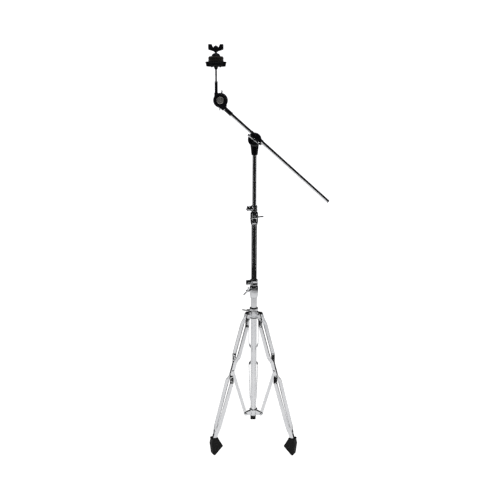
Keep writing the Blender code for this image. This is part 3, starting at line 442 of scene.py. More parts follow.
def plate(name, outline, thickness, holes=()):
    """A flat piece in its own XY plane, centred on it."""
    curve = bpy.data.curves.new(name, "CURVE")
    curve.dimensions = "2D"
    curve.fill_mode = "BOTH"
    curve.extrude = thickness / 2
    for path in [outline, *holes]:
        spline = curve.splines.new("POLY")
        spline.points.add(len(path) - 1)
        for point, (x, y) in zip(spline.points, path):
            point.co = (x, y, 0, 1)
        spline.use_cyclic_u = True
    flat = new_object("outline", curve)
    graph = bpy.context.evaluated_depsgraph_get()
    mesh = bpy.data.meshes.new_from_object(flat.evaluated_get(graph))
    bpy.data.objects.remove(flat)
    shape = bmesh.new()
    shape.from_mesh(mesh)
    bmesh.ops.remove_doubles(shape, verts=shape.verts, dist=0.00001)
    flat_enough = math.radians(0.5)
    bmesh.ops.dissolve_limit(shape, angle_limit=flat_enough, verts=shape.verts, edges=shape.edges)
    return from_shape(name, shape)


def moved(at=(0, 0, 0), turn=(0, 0, 0)):
    about_x, about_y, about_z = (Matrix.Rotation(angle, 4, axis) for angle, axis in zip(turn, "XYZ"))
    return Matrix.Translation(at) @ about_z @ about_y @ about_x


def combine(piece, operation, *tools):
    """Unites a piece with tools, or cuts them out. Each tool comes with its place in the piece."""
    for tool, place in tools:
        tool.matrix_world = place
        step = piece.modifiers.new("combine", "BOOLEAN")
        step.operation = operation
        step.solver = "MANIFOLD"
        step.object = tool
    bpy.context.view_layer.update()
    settle(piece)
    for tool, _ in tools:
        bpy.data.objects.remove(tool)
    return piece


def cut(piece, *tools):
    return combine(piece, "DIFFERENCE", *tools)


def weld(piece, *tools):
    return combine(piece, "UNION", *tools)


# %% [markdown]
# ## Putting a piece in its place
# A finished piece takes over from one solid: it hides that solid, rides on the same body and takes
# its finish. A trim piece that the plain model leaves out only rides along. A place is a matrix made
# from a point and two directions.


def basis(at, along_z, towards_x):
    """A place at a point, with Z along one direction and X as near as it can be to another."""
    z = Vector(along_z).normalized()
    x = (Vector(towards_x) - Vector(towards_x).dot(z) * z).normalized()
    y = z.cross(x)
    turn = Matrix((x, y, z)).transposed().to_4x4()
    return Matrix.Translation(at) @ turn


def shade(piece, degrees=32):
    piece.data.shade_smooth()
    piece.data.set_sharp_from_angle(angle=math.radians(degrees))
    step = piece.modifiers.new("flat faces first", "WEIGHTED_NORMAL")
    step.keep_sharp = True
    return settle(piece)


def put(piece, material, place, body):
    shade(piece)
    piece.data.materials.clear()
    piece.data.materials.append(material)
    piece.matrix_world = place
    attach(piece, body)
    return piece


def takes_over(piece, node, material, place):
    """The piece stands for a solid of the frame."""
    piece.name = f"{node}_finished"
    put(piece, material, place, BODY_OF[node])
    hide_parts(node)
    return piece


def trim(piece, name, node, material, place):
    """A small extra piece that goes with a solid of the frame."""
    piece.name = name
    return put(piece, material, place, BODY_OF[node])


def upright(height):
    return Matrix.Translation((COLUMN.x, COLUMN.y, height))


# %% [markdown]
# ## The telescoping tubes
# The column is three drawn tubes, each sliding in the one below. A box gives each tube's height and
# radius, so only the wall is set here. The lower end of the base tube is closed by a nylon plug.

# %% Make the column tubes
TUBE_WALL = {"base_tube": 0.0012, "middle_tube": 0.0012, "upper_tube": 0.0014}
RADIUS = {}
for node, wall in TUBE_WALL.items():
    low, high = box_of(node)
    RADIUS[node] = (high.x - low.x) / 2
    tube = pipe(node, RADIUS[node], RADIUS[node] - wall, low.z, high.z)
    takes_over(tube, node, TUBE_CHROME, upright(0))
    span = (round(low.z, 3), round(high.z, 3))
    print(node, "radius", round(RADIUS[node] * 1000, 2), "mm, from and to", span)

BASE_RADIUS, MIDDLE_RADIUS, UPPER_RADIUS = RADIUS.values()
GAP = 0.0003

# %% Plug the base tube
low, high = box_of("tube_plug")
plug_radius = BASE_RADIUS - TUBE_WALL["base_tube"] - GAP
tube_foot = box_of("base_tube")[0].z
plug_profile = [
    (0, high.z),
    (plug_radius - 0.001, high.z),
    (plug_radius, high.z - 0.002),
    (plug_radius, tube_foot - GAP),
    (BASE_RADIUS, tube_foot - GAP),
    (BASE_RADIUS, low.z + 0.0016),
    (BASE_RADIUS - 0.0007, low.z + 0.0004),
    (BASE_RADIUS - 0.0018, low.z),
    (0.004, low.z),
    (0.003, low.z + 0.001),
    (0, low.z + 0.001),
]
takes_over(turned("plug", plug_profile), "tube_plug", BLACK_NYLON, upright(0))

# %% [markdown]
# ## Wing bolts
# Every clamp on the stand is tightened by a cast wing bolt. It is a stem with a round hub, and two
# wings that thin towards their tips and end in a round pad for the thumb. The wings are a plate with
# a generous bevel, welded to the turned hub.

# %% Cast a wing bolt
BOLT_RADIUS = 0.003
BOLT_HUB = 0.0072
BOLT_HUB_LENGTH = 0.012


def wing_outline(span, rise, tip, root):
    reach = span / 2 - tip
    side = [(0.35 * reach, 0.2 * root), (0.62 * reach, 0.2 * root + 0.38 * (rise - tip - 0.2 * root))]
    side += arc((reach, rise), tip, -75, 105, 14)
    side += [(0.62 * reach, 0.5 * (rise + root)), (0.3 * reach, root)]
    return side + [(-x, y) for x, y in reversed(side)]


def wing_bolt(shank, span, rise=0.014, tip=0.0036, thickness=0.0052):
    """A bolt along -Z, with its hub and wings along +Z."""
    top = BOLT_HUB_LENGTH
    profile = [
        (0, top),
        (0.52 * BOLT_HUB, top),
        (0.66 * BOLT_HUB, top - 0.0006),
        (0.80 * BOLT_HUB, 0.80 * top),
        (0.86 * BOLT_HUB, 0.45 * top),
        (0.98 * BOLT_HUB, 0.26 * top),
        (BOLT_HUB, 0.16 * top),
        (BOLT_HUB, 0.0006),
        (BOLT_HUB - 0.0006, 0),
        (BOLT_RADIUS, 0),
        (BOLT_RADIUS, -shank + 0.0006),
        (BOLT_RADIUS - 0.0006, -shank),
        (0, -shank),
    ]
    bolt = turned("bolt", profile, SMALL)
    wings = plate("wings", wing_outline(span, rise, tip, 0.95 * top), thickness)
    rounded(wings, 0.32 * thickness, 3, 50)
    return weld(bolt, (wings, moved(turn=(math.pi / 2, 0, 0))))


# %% Fit a wing bolt by its joint
def fit_bolt(node, joint_name, seat, shank, span, roll, **shape):
    """The seat is how far from the joint's point the hub's foot lies. The roll turns the wings."""
    at, out = axis_place(joint_name)
    track = out.to_track_quat("Z", "Y").to_matrix().to_4x4()
    place = Matrix.Translation(at) @ track @ Matrix.Rotation(math.radians(roll), 4, "Z")
    place = place @ Matrix.Translation((0, 0, seat))
    takes_over(wing_bolt(shank, span, **shape), node, CAST_CHROME, place)


# %% [markdown]
# ## Clamps
# A clamp is a casting pressed on the end of a tube. It has a thick band at the top, a waist with two
# shallow grooves, and a boss for the wing bolt. A saw cut beside the boss lets the band close on the
# nylon bush, whose rim shows above it.

# %% Cast the two clamps
CLAMP_TOP = 0.027
CLAMP_HEIGHT = 0.049
CLAMP_WALL = 0.0046
CLAMP_FOOT_WALL = 0.0018
CLAMP_BOLT = 0.0145
BOSS_RADIUS = 0.0068
BOSS_REACH = 0.011
BUSH_FLANGE = 0.0028


def clamp_profile(held):
    inner = held + GAP
    waist = held + CLAMP_WALL
    foot = held + CLAMP_FOOT_WALL
    low = CLAMP_TOP - CLAMP_HEIGHT
    groove = 0.0007
    return [
        (waist - 0.0012, CLAMP_TOP),
        (waist - 0.0003, CLAMP_TOP - 0.0004),
        (waist, CLAMP_TOP - 0.0014),
        (waist, CLAMP_TOP - 0.0036),
        (waist - groove, CLAMP_TOP - 0.0042),
        (waist - groove, CLAMP_TOP - 0.0052),
        (waist, CLAMP_TOP - 0.0058),
        (waist, low + 0.0230),
        (waist - 0.0003, low + 0.0218),
        (foot + 0.0020, low + 0.0100),
        (foot + 0.0008, low + 0.0062),
        (foot + 0.0008, low + 0.0030),
        (foot, low + 0.0022),
        (foot, low + 0.0005),
        (foot - 0.0005, low),
        (inner, low),
        (inner, CLAMP_TOP),
    ]


def clamp_piece(held, turn):
    body = turned("clamp", clamp_profile(held))
    inner = held + GAP
    waist = held + CLAMP_WALL
    out = moved((0, 0, CLAMP_BOLT), (0, math.pi / 2, math.radians(turn)))
    boss = drum("boss", BOSS_RADIUS, inner + 0.0015, waist + BOSS_REACH, SMALL, 0.0008)
    weld(body, (boss, out))
    hole = drum("hole", BOLT_RADIUS + GAP, inner - 0.004, 0.05)
    saw_cut = block("saw cut", (0.02, 0.0012, CLAMP_HEIGHT * 0.55), (inner + 0.004, 0, 0))
    beside = moved((0, 0, CLAMP_TOP - 0.27 * CLAMP_HEIGHT), (0, 0, math.radians(turn + 180)))
    return cut(body, (hole, out), (saw_cut, beside))


def bush_piece(held, passing):
    inner = passing + GAP
    rim = held + CLAMP_WALL - 0.0012
    top = CLAMP_TOP + BUSH_FLANGE
    profile = [
        (rim - 0.0012, top),
        (rim - 0.0003, top - 0.0004),
        (rim, top - 0.0012),
        (rim, CLAMP_TOP + GAP),
        (held, CLAMP_TOP + GAP),
        (held, GAP),
        (inner, GAP),
        (inner, top - 0.0006),
        (inner + 0.0006, top),
    ]
    return turned("bush", profile)


def fit_clamp(prefix, held, passing, turn, roll, span):
    tube_top = box_of({"base": "base_tube", "middle": "middle_tube"}[prefix])[1].z
    place = upright(tube_top)
    takes_over(clamp_piece(held, turn), f"{prefix}_clamp", CAST_CHROME, place)
    takes_over(bush_piece(held, passing), f"{prefix}_clamp_bush", BLACK_NYLON, place)
    seat = held + CLAMP_WALL + BOSS_REACH + GAP
    fit_bolt(f"{prefix}_wing_bolt", f"{prefix}_bolt_turn", seat, seat - held - GAP, span, roll)
    print(prefix, "clamp on a tube that ends at", round(tube_top, 4))


fit_clamp("base", BASE_RADIUS, MIDDLE_RADIUS, 222, 52, 0.050)
fit_clamp("middle", MIDDLE_RADIUS, UPPER_RADIUS, 284, 8, 0.056)

# %% [markdown]
# ## Memory locks
# A memory lock is a split ring that stays on its tube when the clamp is opened, so the stand goes
# back to the same height. Its two ears are drawn together by a small wing bolt. The ring is turned,
# the ears are welded on with rounded corners, and a slot is sawn through.

# %% Make the memory locks
LOCK_WALL = 0.0042
LOCK_HEIGHT = 0.024
LOCK_REACH = 0.0165
LOCK_EAR = 0.014
LOCK_SLOT = 0.0016


def lock_piece(passing, turn):
    inner = passing + GAP
    outer = inner + LOCK_WALL
    ring_profile = [
        (outer - 0.0010, LOCK_HEIGHT),
        (outer - 0.0002, LOCK_HEIGHT - 0.0004),
        (outer, LOCK_HEIGHT - 0.0014),
        (outer, 0.62 * LOCK_HEIGHT),
        (outer - 0.0006, 0.58 * LOCK_HEIGHT),
        (outer - 0.0006, 0.42 * LOCK_HEIGHT),
        (outer, 0.38 * LOCK_HEIGHT),
        (outer, 0.0014),
        (outer - 0.0002, 0.0004),
        (outer - 0.0010, 0),
        (inner, 0),
        (inner, LOCK_HEIGHT),
    ]
    ring = turned("lock", ring_profile)
    around = math.radians(turn)
    reach = outer + LOCK_REACH - inner
    ears = block("ears", (reach, LOCK_EAR, LOCK_HEIGHT * 0.85), (reach / 2, 0, 0))
    rounded(ears, 0.0032, 4)
    spoke = Vector((math.cos(around), math.sin(around), 0))
    weld(ring, (ears, moved(spoke * (inner + 0.0012) + Vector((0, 0, LOCK_HEIGHT / 2)), (0, 0, around))))
    slot = block("slot", (reach + 0.02, LOCK_SLOT, LOCK_HEIGHT * 2), ((reach + 0.02) / 2, 0, 0))
    hole = drum("hole", BOLT_RADIUS + GAP, -0.02, 0.02)
    hole_at = spoke * (passing + LOCK_WALL + 0.55 * LOCK_REACH) + Vector((0, 0, LOCK_HEIGHT / 2))
    across = moved(hole_at, (math.pi / 2, 0, around))
    return cut(ring, (slot, moved(spoke * (inner - 0.004), (0, 0, around))), (hole, across))


def fit_lock(prefix, passing, turn, span):
    at, _ = axis_place(f"{prefix}_swivel")
    takes_over(lock_piece(passing, turn), f"{prefix}_lock", CAST_CHROME, upright(at.z))
    bolt = {"rise": 0.009, "tip": 0.003, "thickness": 0.0045}
    seat = LOCK_EAR / 2 + GAP
    length = LOCK_EAR + 2 * GAP
    fit_bolt(f"{prefix}_lock_bolt", f"{prefix}_lock_bolt_turn", seat, length, span, 0, **bolt)
    print(prefix, "lock at", round(at.z, 4))


fit_lock("middle", MIDDLE_RADIUS, 196, 0.026)
fit_lock("upper", UPPER_RADIUS, 186, 0.030)

# %% [markdown]
# ## The tripod's joints in space
# Each leg lies in an upright plane through the column. The joints give the brace's foot, the rivet
# and the direction across the leg, so every leg gets the same two places: one for its brace and one
# for its straps.

# %% Find each leg's places
LEG_TURNS = (210, 330, 90)
BRACE_JOINTS = ("leg_spread", "brace_2_turn", "brace_3_turn")
leg_top, _ = axis_place("collar_turn")
first_rivet, _ = axis_place("leg_1_turn")
LEG_UPPER = (leg_top - first_rivet).length
LEG_RISE = (leg_top - first_rivet).z / LEG_UPPER
LEG_ANGLE = math.acos(LEG_RISE)


class Leg:
    def __init__(self, number):
        self.number = number
        self.bracket, across = axis_place(BRACE_JOINTS[number - 1])
        self.rivet, _ = axis_place(f"leg_{number}_turn")
        self.across = across
        self.outward = across.cross(Vector((0, 0, 1)))
        lean = math.sin(LEG_ANGLE) * -self.outward + math.cos(LEG_ANGLE) * Vector((0, 0, 1))
        self.top = self.rivet + LEG_UPPER * lean
        self.strap_place = self.frame(self.top, lean)
        self.brace_place = self.frame(self.bracket, self.rivet - self.bracket)

    def frame(self, at, up):
        """X outward in the leg's plane, Y across it, Z up the bar."""
        z = up.normalized()
        x = self.across.cross(z)
        return Matrix.Translation(at) @ Matrix((x, self.across, z)).transposed().to_4x4()


LEGS = [Leg(number) for number in (1, 2, 3)]
print("leg angle", round(math.degrees(LEG_ANGLE), 2), "upper part", round(LEG_UPPER, 4))

# %% [markdown]
# ## Leg straps
# A leg is two pressed channels of thin plated steel. They run close together at the collar, at the
# rivet and in the foot, and bow apart between. A channel is a section drawn along that path: its
# course changes at a few stations and the bends between them are eased with a cosine.

# %% Press a strap
STRAP_HALF = 0.009
STRAP_WALL = 0.0015
STRAP_END = 0.577
BOW_DEPTH = 0.022
FOOT_END_DEPTH = 0.009
FLANGE = 0.0035
COLLAR_LUG = 0.015
BRACE_THICKNESS = 0.003
AT_LUG = COLLAR_LUG / 2 + 0.0006 + FLANGE
AT_BRACE = BRACE_THICKNESS / 2 + GAP + FLANGE
STRAP_COURSE = [
    (-0.0075, AT_LUG),
    (0.021, AT_LUG),
    (0.047, BOW_DEPTH),
    (LEG_UPPER - 0.066, BOW_DEPTH),
    (LEG_UPPER - 0.038, AT_BRACE),
    (LEG_UPPER + 0.023, AT_BRACE),
    (LEG_UPPER + 0.046, BOW_DEPTH),
    (STRAP_END - 0.075, (BOW_DEPTH + FOOT_END_DEPTH) / 2 + 0.001),
    (STRAP_END - 0.045, FOOT_END_DEPTH),
    (STRAP_END, FOOT_END_DEPTH),
]
BEND_EASE = 0.006  # length of the rounded part on each side of a bend


def course_depth(distance):
    for (start, first), (end, last) in zip(STRAP_COURSE, STRAP_COURSE[1:]):
        if distance <= end:
            return first + (last - first) * (distance - start) / (end - start)
    return STRAP_COURSE[-1][1]


def eased_depth(distance):
    """The course, averaged over a short length so that its bends are round."""
    start, end = STRAP_COURSE[0][0], STRAP_COURSE[-1][0]
    steps = [max(start, min(end, distance + BEND_EASE * (i / 4 - 1))) for i in range(9)]
    return sum(course_depth(step) for step in steps) / len(steps)


def strap_stations():
    """Close together at the bends and at the rounded upper end, far apart on the straights."""
    places = {STRAP_COURSE[0][0] + STRAP_HALF * (1 - math.cos(math.radians(10 * i))) for i in range(10)}
    for distance, _ in STRAP_COURSE[1:-1]:
        places |= {distance + BEND_EASE * (i / 3 - 1) * 1.2 for i in range(7)}
    places.add(STRAP_COURSE[-1][0])
    return sorted(places)


def strap_section(depth, half):
    """Flange, rounded corner, web with a shallow crown, corner, flange."""
    corner = min(0.0018, half * 0.5)
    edge = depth - FLANGE
    side = [(half, edge), (half, depth - corner)]
    turns = [math.radians(a) for a in (22, 45, 68, 90)]
    side += [(half - corner * (1 - math.cos(t)), depth - corner * (1 - math.sin(t))) for t in turns]
    side.append((half * 0.5 - corner * 0.5, depth + 0.0002))
    return [(-x, y) for x, y in side] + [(x, y) for x, y in reversed(side)]


def strap_piece(side):
    stations = strap_stations()
    top = stations[0]
    shape = bmesh.new()
    rows = []
    for distance in stations:
        into = min(1.0, (distance - top) / STRAP_HALF)
        half = STRAP_HALF * max(0.12, math.sqrt(max(0.0, 1 - (1 - into) ** 2)))
        section = strap_section(eased_depth(distance), half)
        rows.append([shape.verts.new((x, side * y, -distance)) for x, y in section])
    for upper, lower in zip(rows, rows[1:]):
        for i in range(len(upper) - 1):
            shape.faces.new((upper[i], upper[i + 1], lower[i + 1], lower[i]))
    strap = from_shape("strap", shape)
    facing = sum(face.normal.y * face.area for face in strap.data.polygons)
    if facing * side < 0:
        strap.data.flip_normals()
    wall = strap.modifiers.new("wall", "SOLIDIFY")
    wall.thickness = STRAP_WALL
    wall.offset = -1
    wall.use_even_offset = True
    settle(strap)
    return strap


for leg in LEGS:
    for side, hand in ((1, "left"), (-1, "right")):
        node = f"leg_{leg.number}_strap_{hand}"
        takes_over(strap_piece(side), node, PRESSED_CHROME, leg.strap_place)
print("strap with", len(strap_stations()), "stations")

# %% [markdown]
# ## Braces
# A brace ties the middle of a leg to the fixed bracket. It is a flat bar with round ends and soft
# edges, pressed with a long shallow bead down its middle to stiffen it.

# %% Press a brace
BRACE_HALF = 0.007
BRACE_LENGTH = (LEGS[0].rivet - LEGS[0].bracket).length


def brace_piece():
    outline = arc((0, 0), BRACE_HALF, 180, 360, 20) + arc((0, BRACE_LENGTH), BRACE_HALF, 0, 180, 20)
    eyes = [arc((0, y), 0.0033, 0, 360, 24)[:-1] for y in (0, BRACE_LENGTH)]
    bar = rounded(plate("brace", outline, BRACE_THICKNESS, eyes), 0.0005, 2, 50)
    bead = arc((0, 0.024), 0.0018, 180, 360, 12) + arc((0, BRACE_LENGTH - 0.024), 0.0018, 0, 180, 12)
    grooves = []
    for face in (1, -1):
        groove = plate("bead", bead, 0.0008)
        grooves.append((groove, moved((0, 0, face * BRACE_THICKNESS / 2))))
    return cut(bar, *grooves)


for leg in LEGS:
    place = leg.brace_place @ moved(turn=(math.pi / 2, 0, 0))
    takes_over(brace_piece(), f"brace_{leg.number}", PRESSED_CHROME, place)
print("brace length", round(BRACE_LENGTH, 4))

# %% [markdown]
# ## Rivets and pins
# Legs and braces turn on steel pins with a low domed head at each end.

# %% Turn the pins
PIN_RADIUS = 0.003
PIN_HEAD_RADIUS = 0.0052
PIN_HEAD = 0.0021


def pin_piece(half_length):
    turns = [math.radians(a) for a in range(0, 91, 15)]
    dome = [(PIN_HEAD_RADIUS * math.sin(t), PIN_HEAD * math.cos(t)) for t in turns]
    head = [(radius, half_length + rise) for radius, rise in dome]
    stem = [(PIN_RADIUS, half_length), (PIN_RADIUS, -half_length)]
    foot = [(radius, -height) for radius, height in reversed(head)]
    return turned("pin", head + stem + foot, SMALL)


leg_pin_half = AT_LUG + GAP
rivet_half = AT_BRACE + GAP
bracket_half = BRACE_THICKNESS / 2 + GAP + 0.0035 + GAP
for leg in LEGS:
    sideways = moved(turn=(math.pi / 2, 0, 0))
    pins = ((leg.top, leg_pin_half, "leg_pin"), (leg.rivet, rivet_half, "middle_rivet"))
    for at, half, name in (*pins, (leg.bracket, bracket_half, "bracket_pin")):
        place = basis(at, leg.across, (0, 0, 1))
        takes_over(pin_piece(half), f"{name}_{leg.number}", RIVET_CHROME, place)
print("pins:", 3 * len(LEGS))

# %% [markdown]
# ## Rubber feet
# A foot is a moulded boot that the two straps are pushed into. Seen from the side it is a wedge: it
# stands on a rounded nose, and its sole slopes up towards the column. It has a rolled lip round its
# mouth, soft edges, and shallow treads in the sole.

# %% Mould a foot
FOOT_WIDTH = 0.025
FOOT_POCKET = 0.034
FOOT_WALL = 0.0025
FOOT_LIP = 0.0072
FOOT_LIP_DROP = 0.008
FOOT_NOSE = (-0.0150, -STRAP_END - 0.0412)
FOOT_HEEL = (-0.0392, -STRAP_END - 0.0070)


def foot_outline():
    """X outward, Y up the leg. The mouth slopes down to a lip on the outer side."""
    top = -STRAP_END + FOOT_POCKET - 0.004
    outside, inside = STRAP_HALF + FOOT_WALL, -STRAP_HALF - FOOT_WALL
    lip = (STRAP_HALF + FOOT_LIP, top - FOOT_LIP_DROP)
    points = [lip, (lip[0] - 0.0008, lip[1] + 0.0020), (outside, top - FOOT_LIP_DROP / 2)]
    points += [(inside, top), (inside - 0.0012, top - 0.0010), (inside - 0.0015, top - 0.003)]
    points += arc(FOOT_HEEL, 0.006, 160, 225, 8)
    points += arc(FOOT_NOSE, 0.0085, 232, 345, 14)
    points += [(outside, -STRAP_END - FOOT_WALL), (outside + 0.0012, lip[1] - 0.0060)]
    return points


def foot_piece():
    boot = rounded(plate("foot", foot_outline(), FOOT_WIDTH), 0.0030, 4, 60)
    pocket = block("pocket", (2 * (STRAP_HALF + GAP), FOOT_POCKET + 0.02, 2 * (FOOT_END_DEPTH + 0.0005)))
    middle = moved((0, -STRAP_END - GAP + (FOOT_POCKET + 0.02) / 2, 0))
    sole = Vector(FOOT_NOSE) - Vector(FOOT_HEEL)
    along = sole.normalized()
    slope = math.atan2(sole.y, sole.x)
    treads = []
    for i in range(6):
        at = Vector(FOOT_HEEL) + sole * (0.16 + 0.13 * i) + Vector((along.y, -along.x)) * 0.0074
        tread = block("tread", (0.0022, 0.0024, FOOT_WIDTH * 0.72))
        treads.append((tread, moved((at.x, at.y, 0), (0, 0, slope))))
    return cut(boot, (pocket, middle), *treads)


for leg in LEGS:
    place = leg.strap_place @ moved(turn=(math.pi / 2, 0, 0))
    takes_over(foot_piece(), f"foot_{leg.number}", FOOT_RUBBER, place)
print("feet stand at", round(min(box_of(f"foot_{leg.number}")[0].z for leg in LEGS), 5))

# %% [markdown]
# ## The leg collar
# The collar slides on the base tube and carries the three leg tops on lugs. It is a casting: a cone
# that closes on the tube, a cylinder with a bead round its foot, three round-ended lugs, and a boss
# for the wing bolt that fixes the height of the legs.

# %% Cast the leg collar
COLLAR_RADIUS = 0.0185
COLLAR_HEIGHT = 0.041
COLLAR_BELOW = 0.0175
COLLAR_BOLT_TURN = 150
COLLAR_BOLT_HEIGHT = COLLAR_HEIGHT * 0.55 - COLLAR_BELOW
SLIDE_GAP = 0.0008
BUSH_WALL = 0.0022
COLLAR_REACH = (Vector((leg_top.x, leg_top.y)) - Vector((COLUMN.x, COLUMN.y))).length


def out_at(turn, height=0.0):
    return moved((0, 0, height), (0, math.pi / 2, math.radians(turn)))


def collar_piece():
    low = -COLLAR_BELOW
    top = low + COLLAR_HEIGHT
    inner = BASE_RADIUS + SLIDE_GAP + BUSH_WALL + GAP
    profile = [
        (inner + 0.0008, top),
        (inner + 0.0016, top - 0.0004),
        (inner + 0.0020, top - 0.0020),
        (COLLAR_RADIUS - 0.0006, top - 0.0128),
        (COLLAR_RADIUS - 0.0001, top - 0.0146),
        (COLLAR_RADIUS - 0.0001, low + 0.0070),
        (COLLAR_RADIUS - 0.0009, low + 0.0062),
        (COLLAR_RADIUS - 0.0009, low + 0.0054),
        (COLLAR_RADIUS, low + 0.0046),
        (COLLAR_RADIUS - 0.0002, low + 0.0030),
        (COLLAR_RADIUS - 0.0020, low),
        (inner, low),
        (inner, top),
    ]
    collar = turned("collar", profile)
    lugs = []
    for turn in LEG_TURNS:
        outline = arc((COLLAR_REACH, 0), 0.0085, -90, 90, 20)
        outline += [(inner + 0.001, 0.0085), (inner + 0.001, -0.0085)]
        lug = rounded(plate("lug", outline, COLLAR_LUG), 0.0009, 2, 50)
        lugs.append((lug, moved(turn=(math.pi / 2, 0, math.radians(turn)))))
    weld(collar, *lugs)
    boss = drum("boss", 0.0064, inner + 0.001, COLLAR_RADIUS + 0.0037, SMALL, 0.0007)
    weld(collar, (boss, out_at(COLLAR_BOLT_TURN, COLLAR_BOLT_HEIGHT)))
    hole = drum("hole", BOLT_RADIUS + GAP, 0.005, 0.04)
    return cut(collar, (hole, out_at(COLLAR_BOLT_TURN, COLLAR_BOLT_HEIGHT)))


def collar_bush_piece():
    low = -COLLAR_BELOW - GAP
    top = low + COLLAR_HEIGHT + 2 * GAP + 0.002
    inner = BASE_RADIUS + SLIDE_GAP
    outer = inner + BUSH_WALL
    profile = [
        (outer - 0.0005, top),
        (outer, top - 0.0006),
        (outer, low),
        (outer + 0.002, low),
        (outer + 0.002, low - 0.0018),
        (outer + 0.0012, low - 0.0025),
        (inner, low - 0.0025),
        (inner, top),
    ]
    bush = turned("bush", profile)
    hole = drum("hole", BOLT_RADIUS + GAP, 0.005, 0.04)
    return cut(bush, (hole, out_at(COLLAR_BOLT_TURN, COLLAR_BOLT_HEIGHT)))


takes_over(collar_piece(), "leg_collar", CAST_CHROME, upright(leg_top.z))
takes_over(collar_bush_piece(), "collar_bush", BLACK_NYLON, upright(leg_top.z))
collar_seat = COLLAR_RADIUS + 0.004
collar_shank = collar_seat - BASE_RADIUS - SLIDE_GAP - GAP
fit_bolt("collar_wing_bolt", "collar_bolt_turn", collar_seat, collar_shank, 0.056, 20, rise=0.017)
print("collar pins at radius", round(COLLAR_REACH, 4))

# %% [markdown]
# ## The fixed bracket
# The braces pivot on a ring fixed to the foot of the base tube. Three forked ears stand out from it,
# each cut by a slot for its brace. The ring has a rounded lower edge and the ears slope down from its
# top to the pins.

# %% Cast the bracket
BRACKET_RADIUS = 0.0175
BRACKET_HALF = 0.014
BRACKET_EAR_HALF = BRACE_THICKNESS / 2 + GAP + 0.0035
BRACKET_REACH = (Vector((LEGS[0].bracket.x, LEGS[0].bracket.y)) - Vector((COLUMN.x, COLUMN.y))).length


def bracket_piece():
    inner = BASE_RADIUS + GAP
    profile = [
        (BRACKET_RADIUS - 0.0018, BRACKET_HALF),
        (BRACKET_RADIUS - 0.0005, BRACKET_HALF - 0.0005),
        (BRACKET_RADIUS, BRACKET_HALF - 0.0018),
        (BRACKET_RADIUS, 0.0040 - BRACKET_HALF),
        (BRACKET_RADIUS - 0.0006, 0.0018 - BRACKET_HALF),
        (BRACKET_RADIUS - 0.0022, 0.0004 - BRACKET_HALF),
        (BRACKET_RADIUS - 0.0032, -BRACKET_HALF),
        (inner, -BRACKET_HALF),
        (inner, BRACKET_HALF),
    ]
    bracket = turned("bracket", profile)
    ears = []
    cuts = []
    for turn in LEG_TURNS:
        around = math.radians(turn)
        spoke = Vector((math.cos(around), math.sin(around), 0))
        outline = arc((BRACKET_REACH, 0), 0.0075, -90, 90, 20)
        outline += [(inner + 0.0012, 0.011), (inner + 0.0012, -0.011)]
        ear = rounded(plate("ear", outline, 2 * BRACKET_EAR_HALF), 0.0008, 2, 50)
        ears.append((ear, moved(turn=(math.pi / 2, 0, around))))
        depth = BRACE_HALF + 0.0015
        length = depth + 0.0175
        fork = block("fork", (length, BRACE_THICKNESS + 2 * GAP, 0.05), (length / 2, 0, 0))
        cuts.append((fork, moved(spoke * (BRACKET_REACH - depth), (0, 0, around))))
        hole = drum("hole", PIN_RADIUS + GAP, -0.02, 0.02)
        cuts.append((hole, moved(spoke * BRACKET_REACH, (math.pi / 2, 0, around))))
    weld(bracket, *ears)
    return cut(bracket, *cuts)


takes_over(bracket_piece(), "lower_bracket", CAST_CHROME, upright(LEGS[0].bracket.z))
print("bracket pins at radius", round(BRACKET_REACH, 4))

# %% [markdown]
# ## The boom clamp
# The boom sits in a clamp on top of the column. A black socket tapers down on to the upper tube and
# ends in a fixed disc. The turning half lies in front of it, bored for a steel sleeve, and a domed
# cap and a large wing bolt close it. The two discs meet face to face.

# %% Cast the socket
tilt_point, _ = axis_place("boom_tilt")
SOCKET_BOTTOM = box_of("boom_socket")[0].z - tilt_point.z
SOCKET_SHOULDER = -0.021
SOCKET_TOP_RADIUS = 0.0165
SOCKET_FOOT_RADIUS = 0.0124
SOCKET_DEPTH = 0.030
DISC_RADIUS = 0.024
DISC_BACK = 0.004
DISC_FRONT = 0.005
HUB_RADIUS = 0.026
HUB_THICKNESS = 0.0205
CAP_RADIUS = 0.0268
CAP_THICKNESS = 0.006
HUB_BACK = DISC_FRONT + GAP
HUB_FRONT = HUB_BACK + HUB_THICKNESS
FORWARD = (math.pi / 2, 0, 0)


def socket_piece():
    bore = UPPER_RADIUS + GAP
    low = SOCKET_BOTTOM
    top = SOCKET_SHOULDER
    profile = [
        (0, top + 0.006),
        (0.55 * SOCKET_TOP_RADIUS, top + 0.0054),
        (0.80 * SOCKET_TOP_RADIUS, top + 0.0035),
        (0.94 * SOCKET_TOP_RADIUS, top + 0.0008),
        (SOCKET_TOP_RADIUS, top - 0.0030),
        (SOCKET_TOP_RADIUS - 0.0004, top - 0.0060),
        (SOCKET_FOOT_RADIUS + 0.0004, low + 0.0060),
        (SOCKET_FOOT_RADIUS + 0.0002, low + 0.0044),
        (SOCKET_FOOT_RADIUS - 0.0004, low + 0.0040),
        (SOCKET_FOOT_RADIUS - 0.0004, low + 0.0032),
        (SOCKET_FOOT_RADIUS, low + 0.0026),
        (SOCKET_FOOT_RADIUS, low + 0.0010),
        (SOCKET_FOOT_RADIUS - 0.0010, low),
        (bore, low),
        (bore, low + SOCKET_DEPTH),
        (0, low + SOCKET_DEPTH),
    ]
    socket = turned("socket", profile)
    disc = drum("disc", DISC_RADIUS, -DISC_BACK, DISC_FRONT, FINE, 0.0006)
    forward = moved(turn=FORWARD)
    weld(socket, (disc, forward))
    scoop = drum("scoop", CAP_RADIUS + GAP, DISC_FRONT, 0.05, FINE)
    hole = drum("hole", BOLT_RADIUS + GAP, -0.02, 0.02)
    return cut(socket, (scoop, forward), (hole, forward))


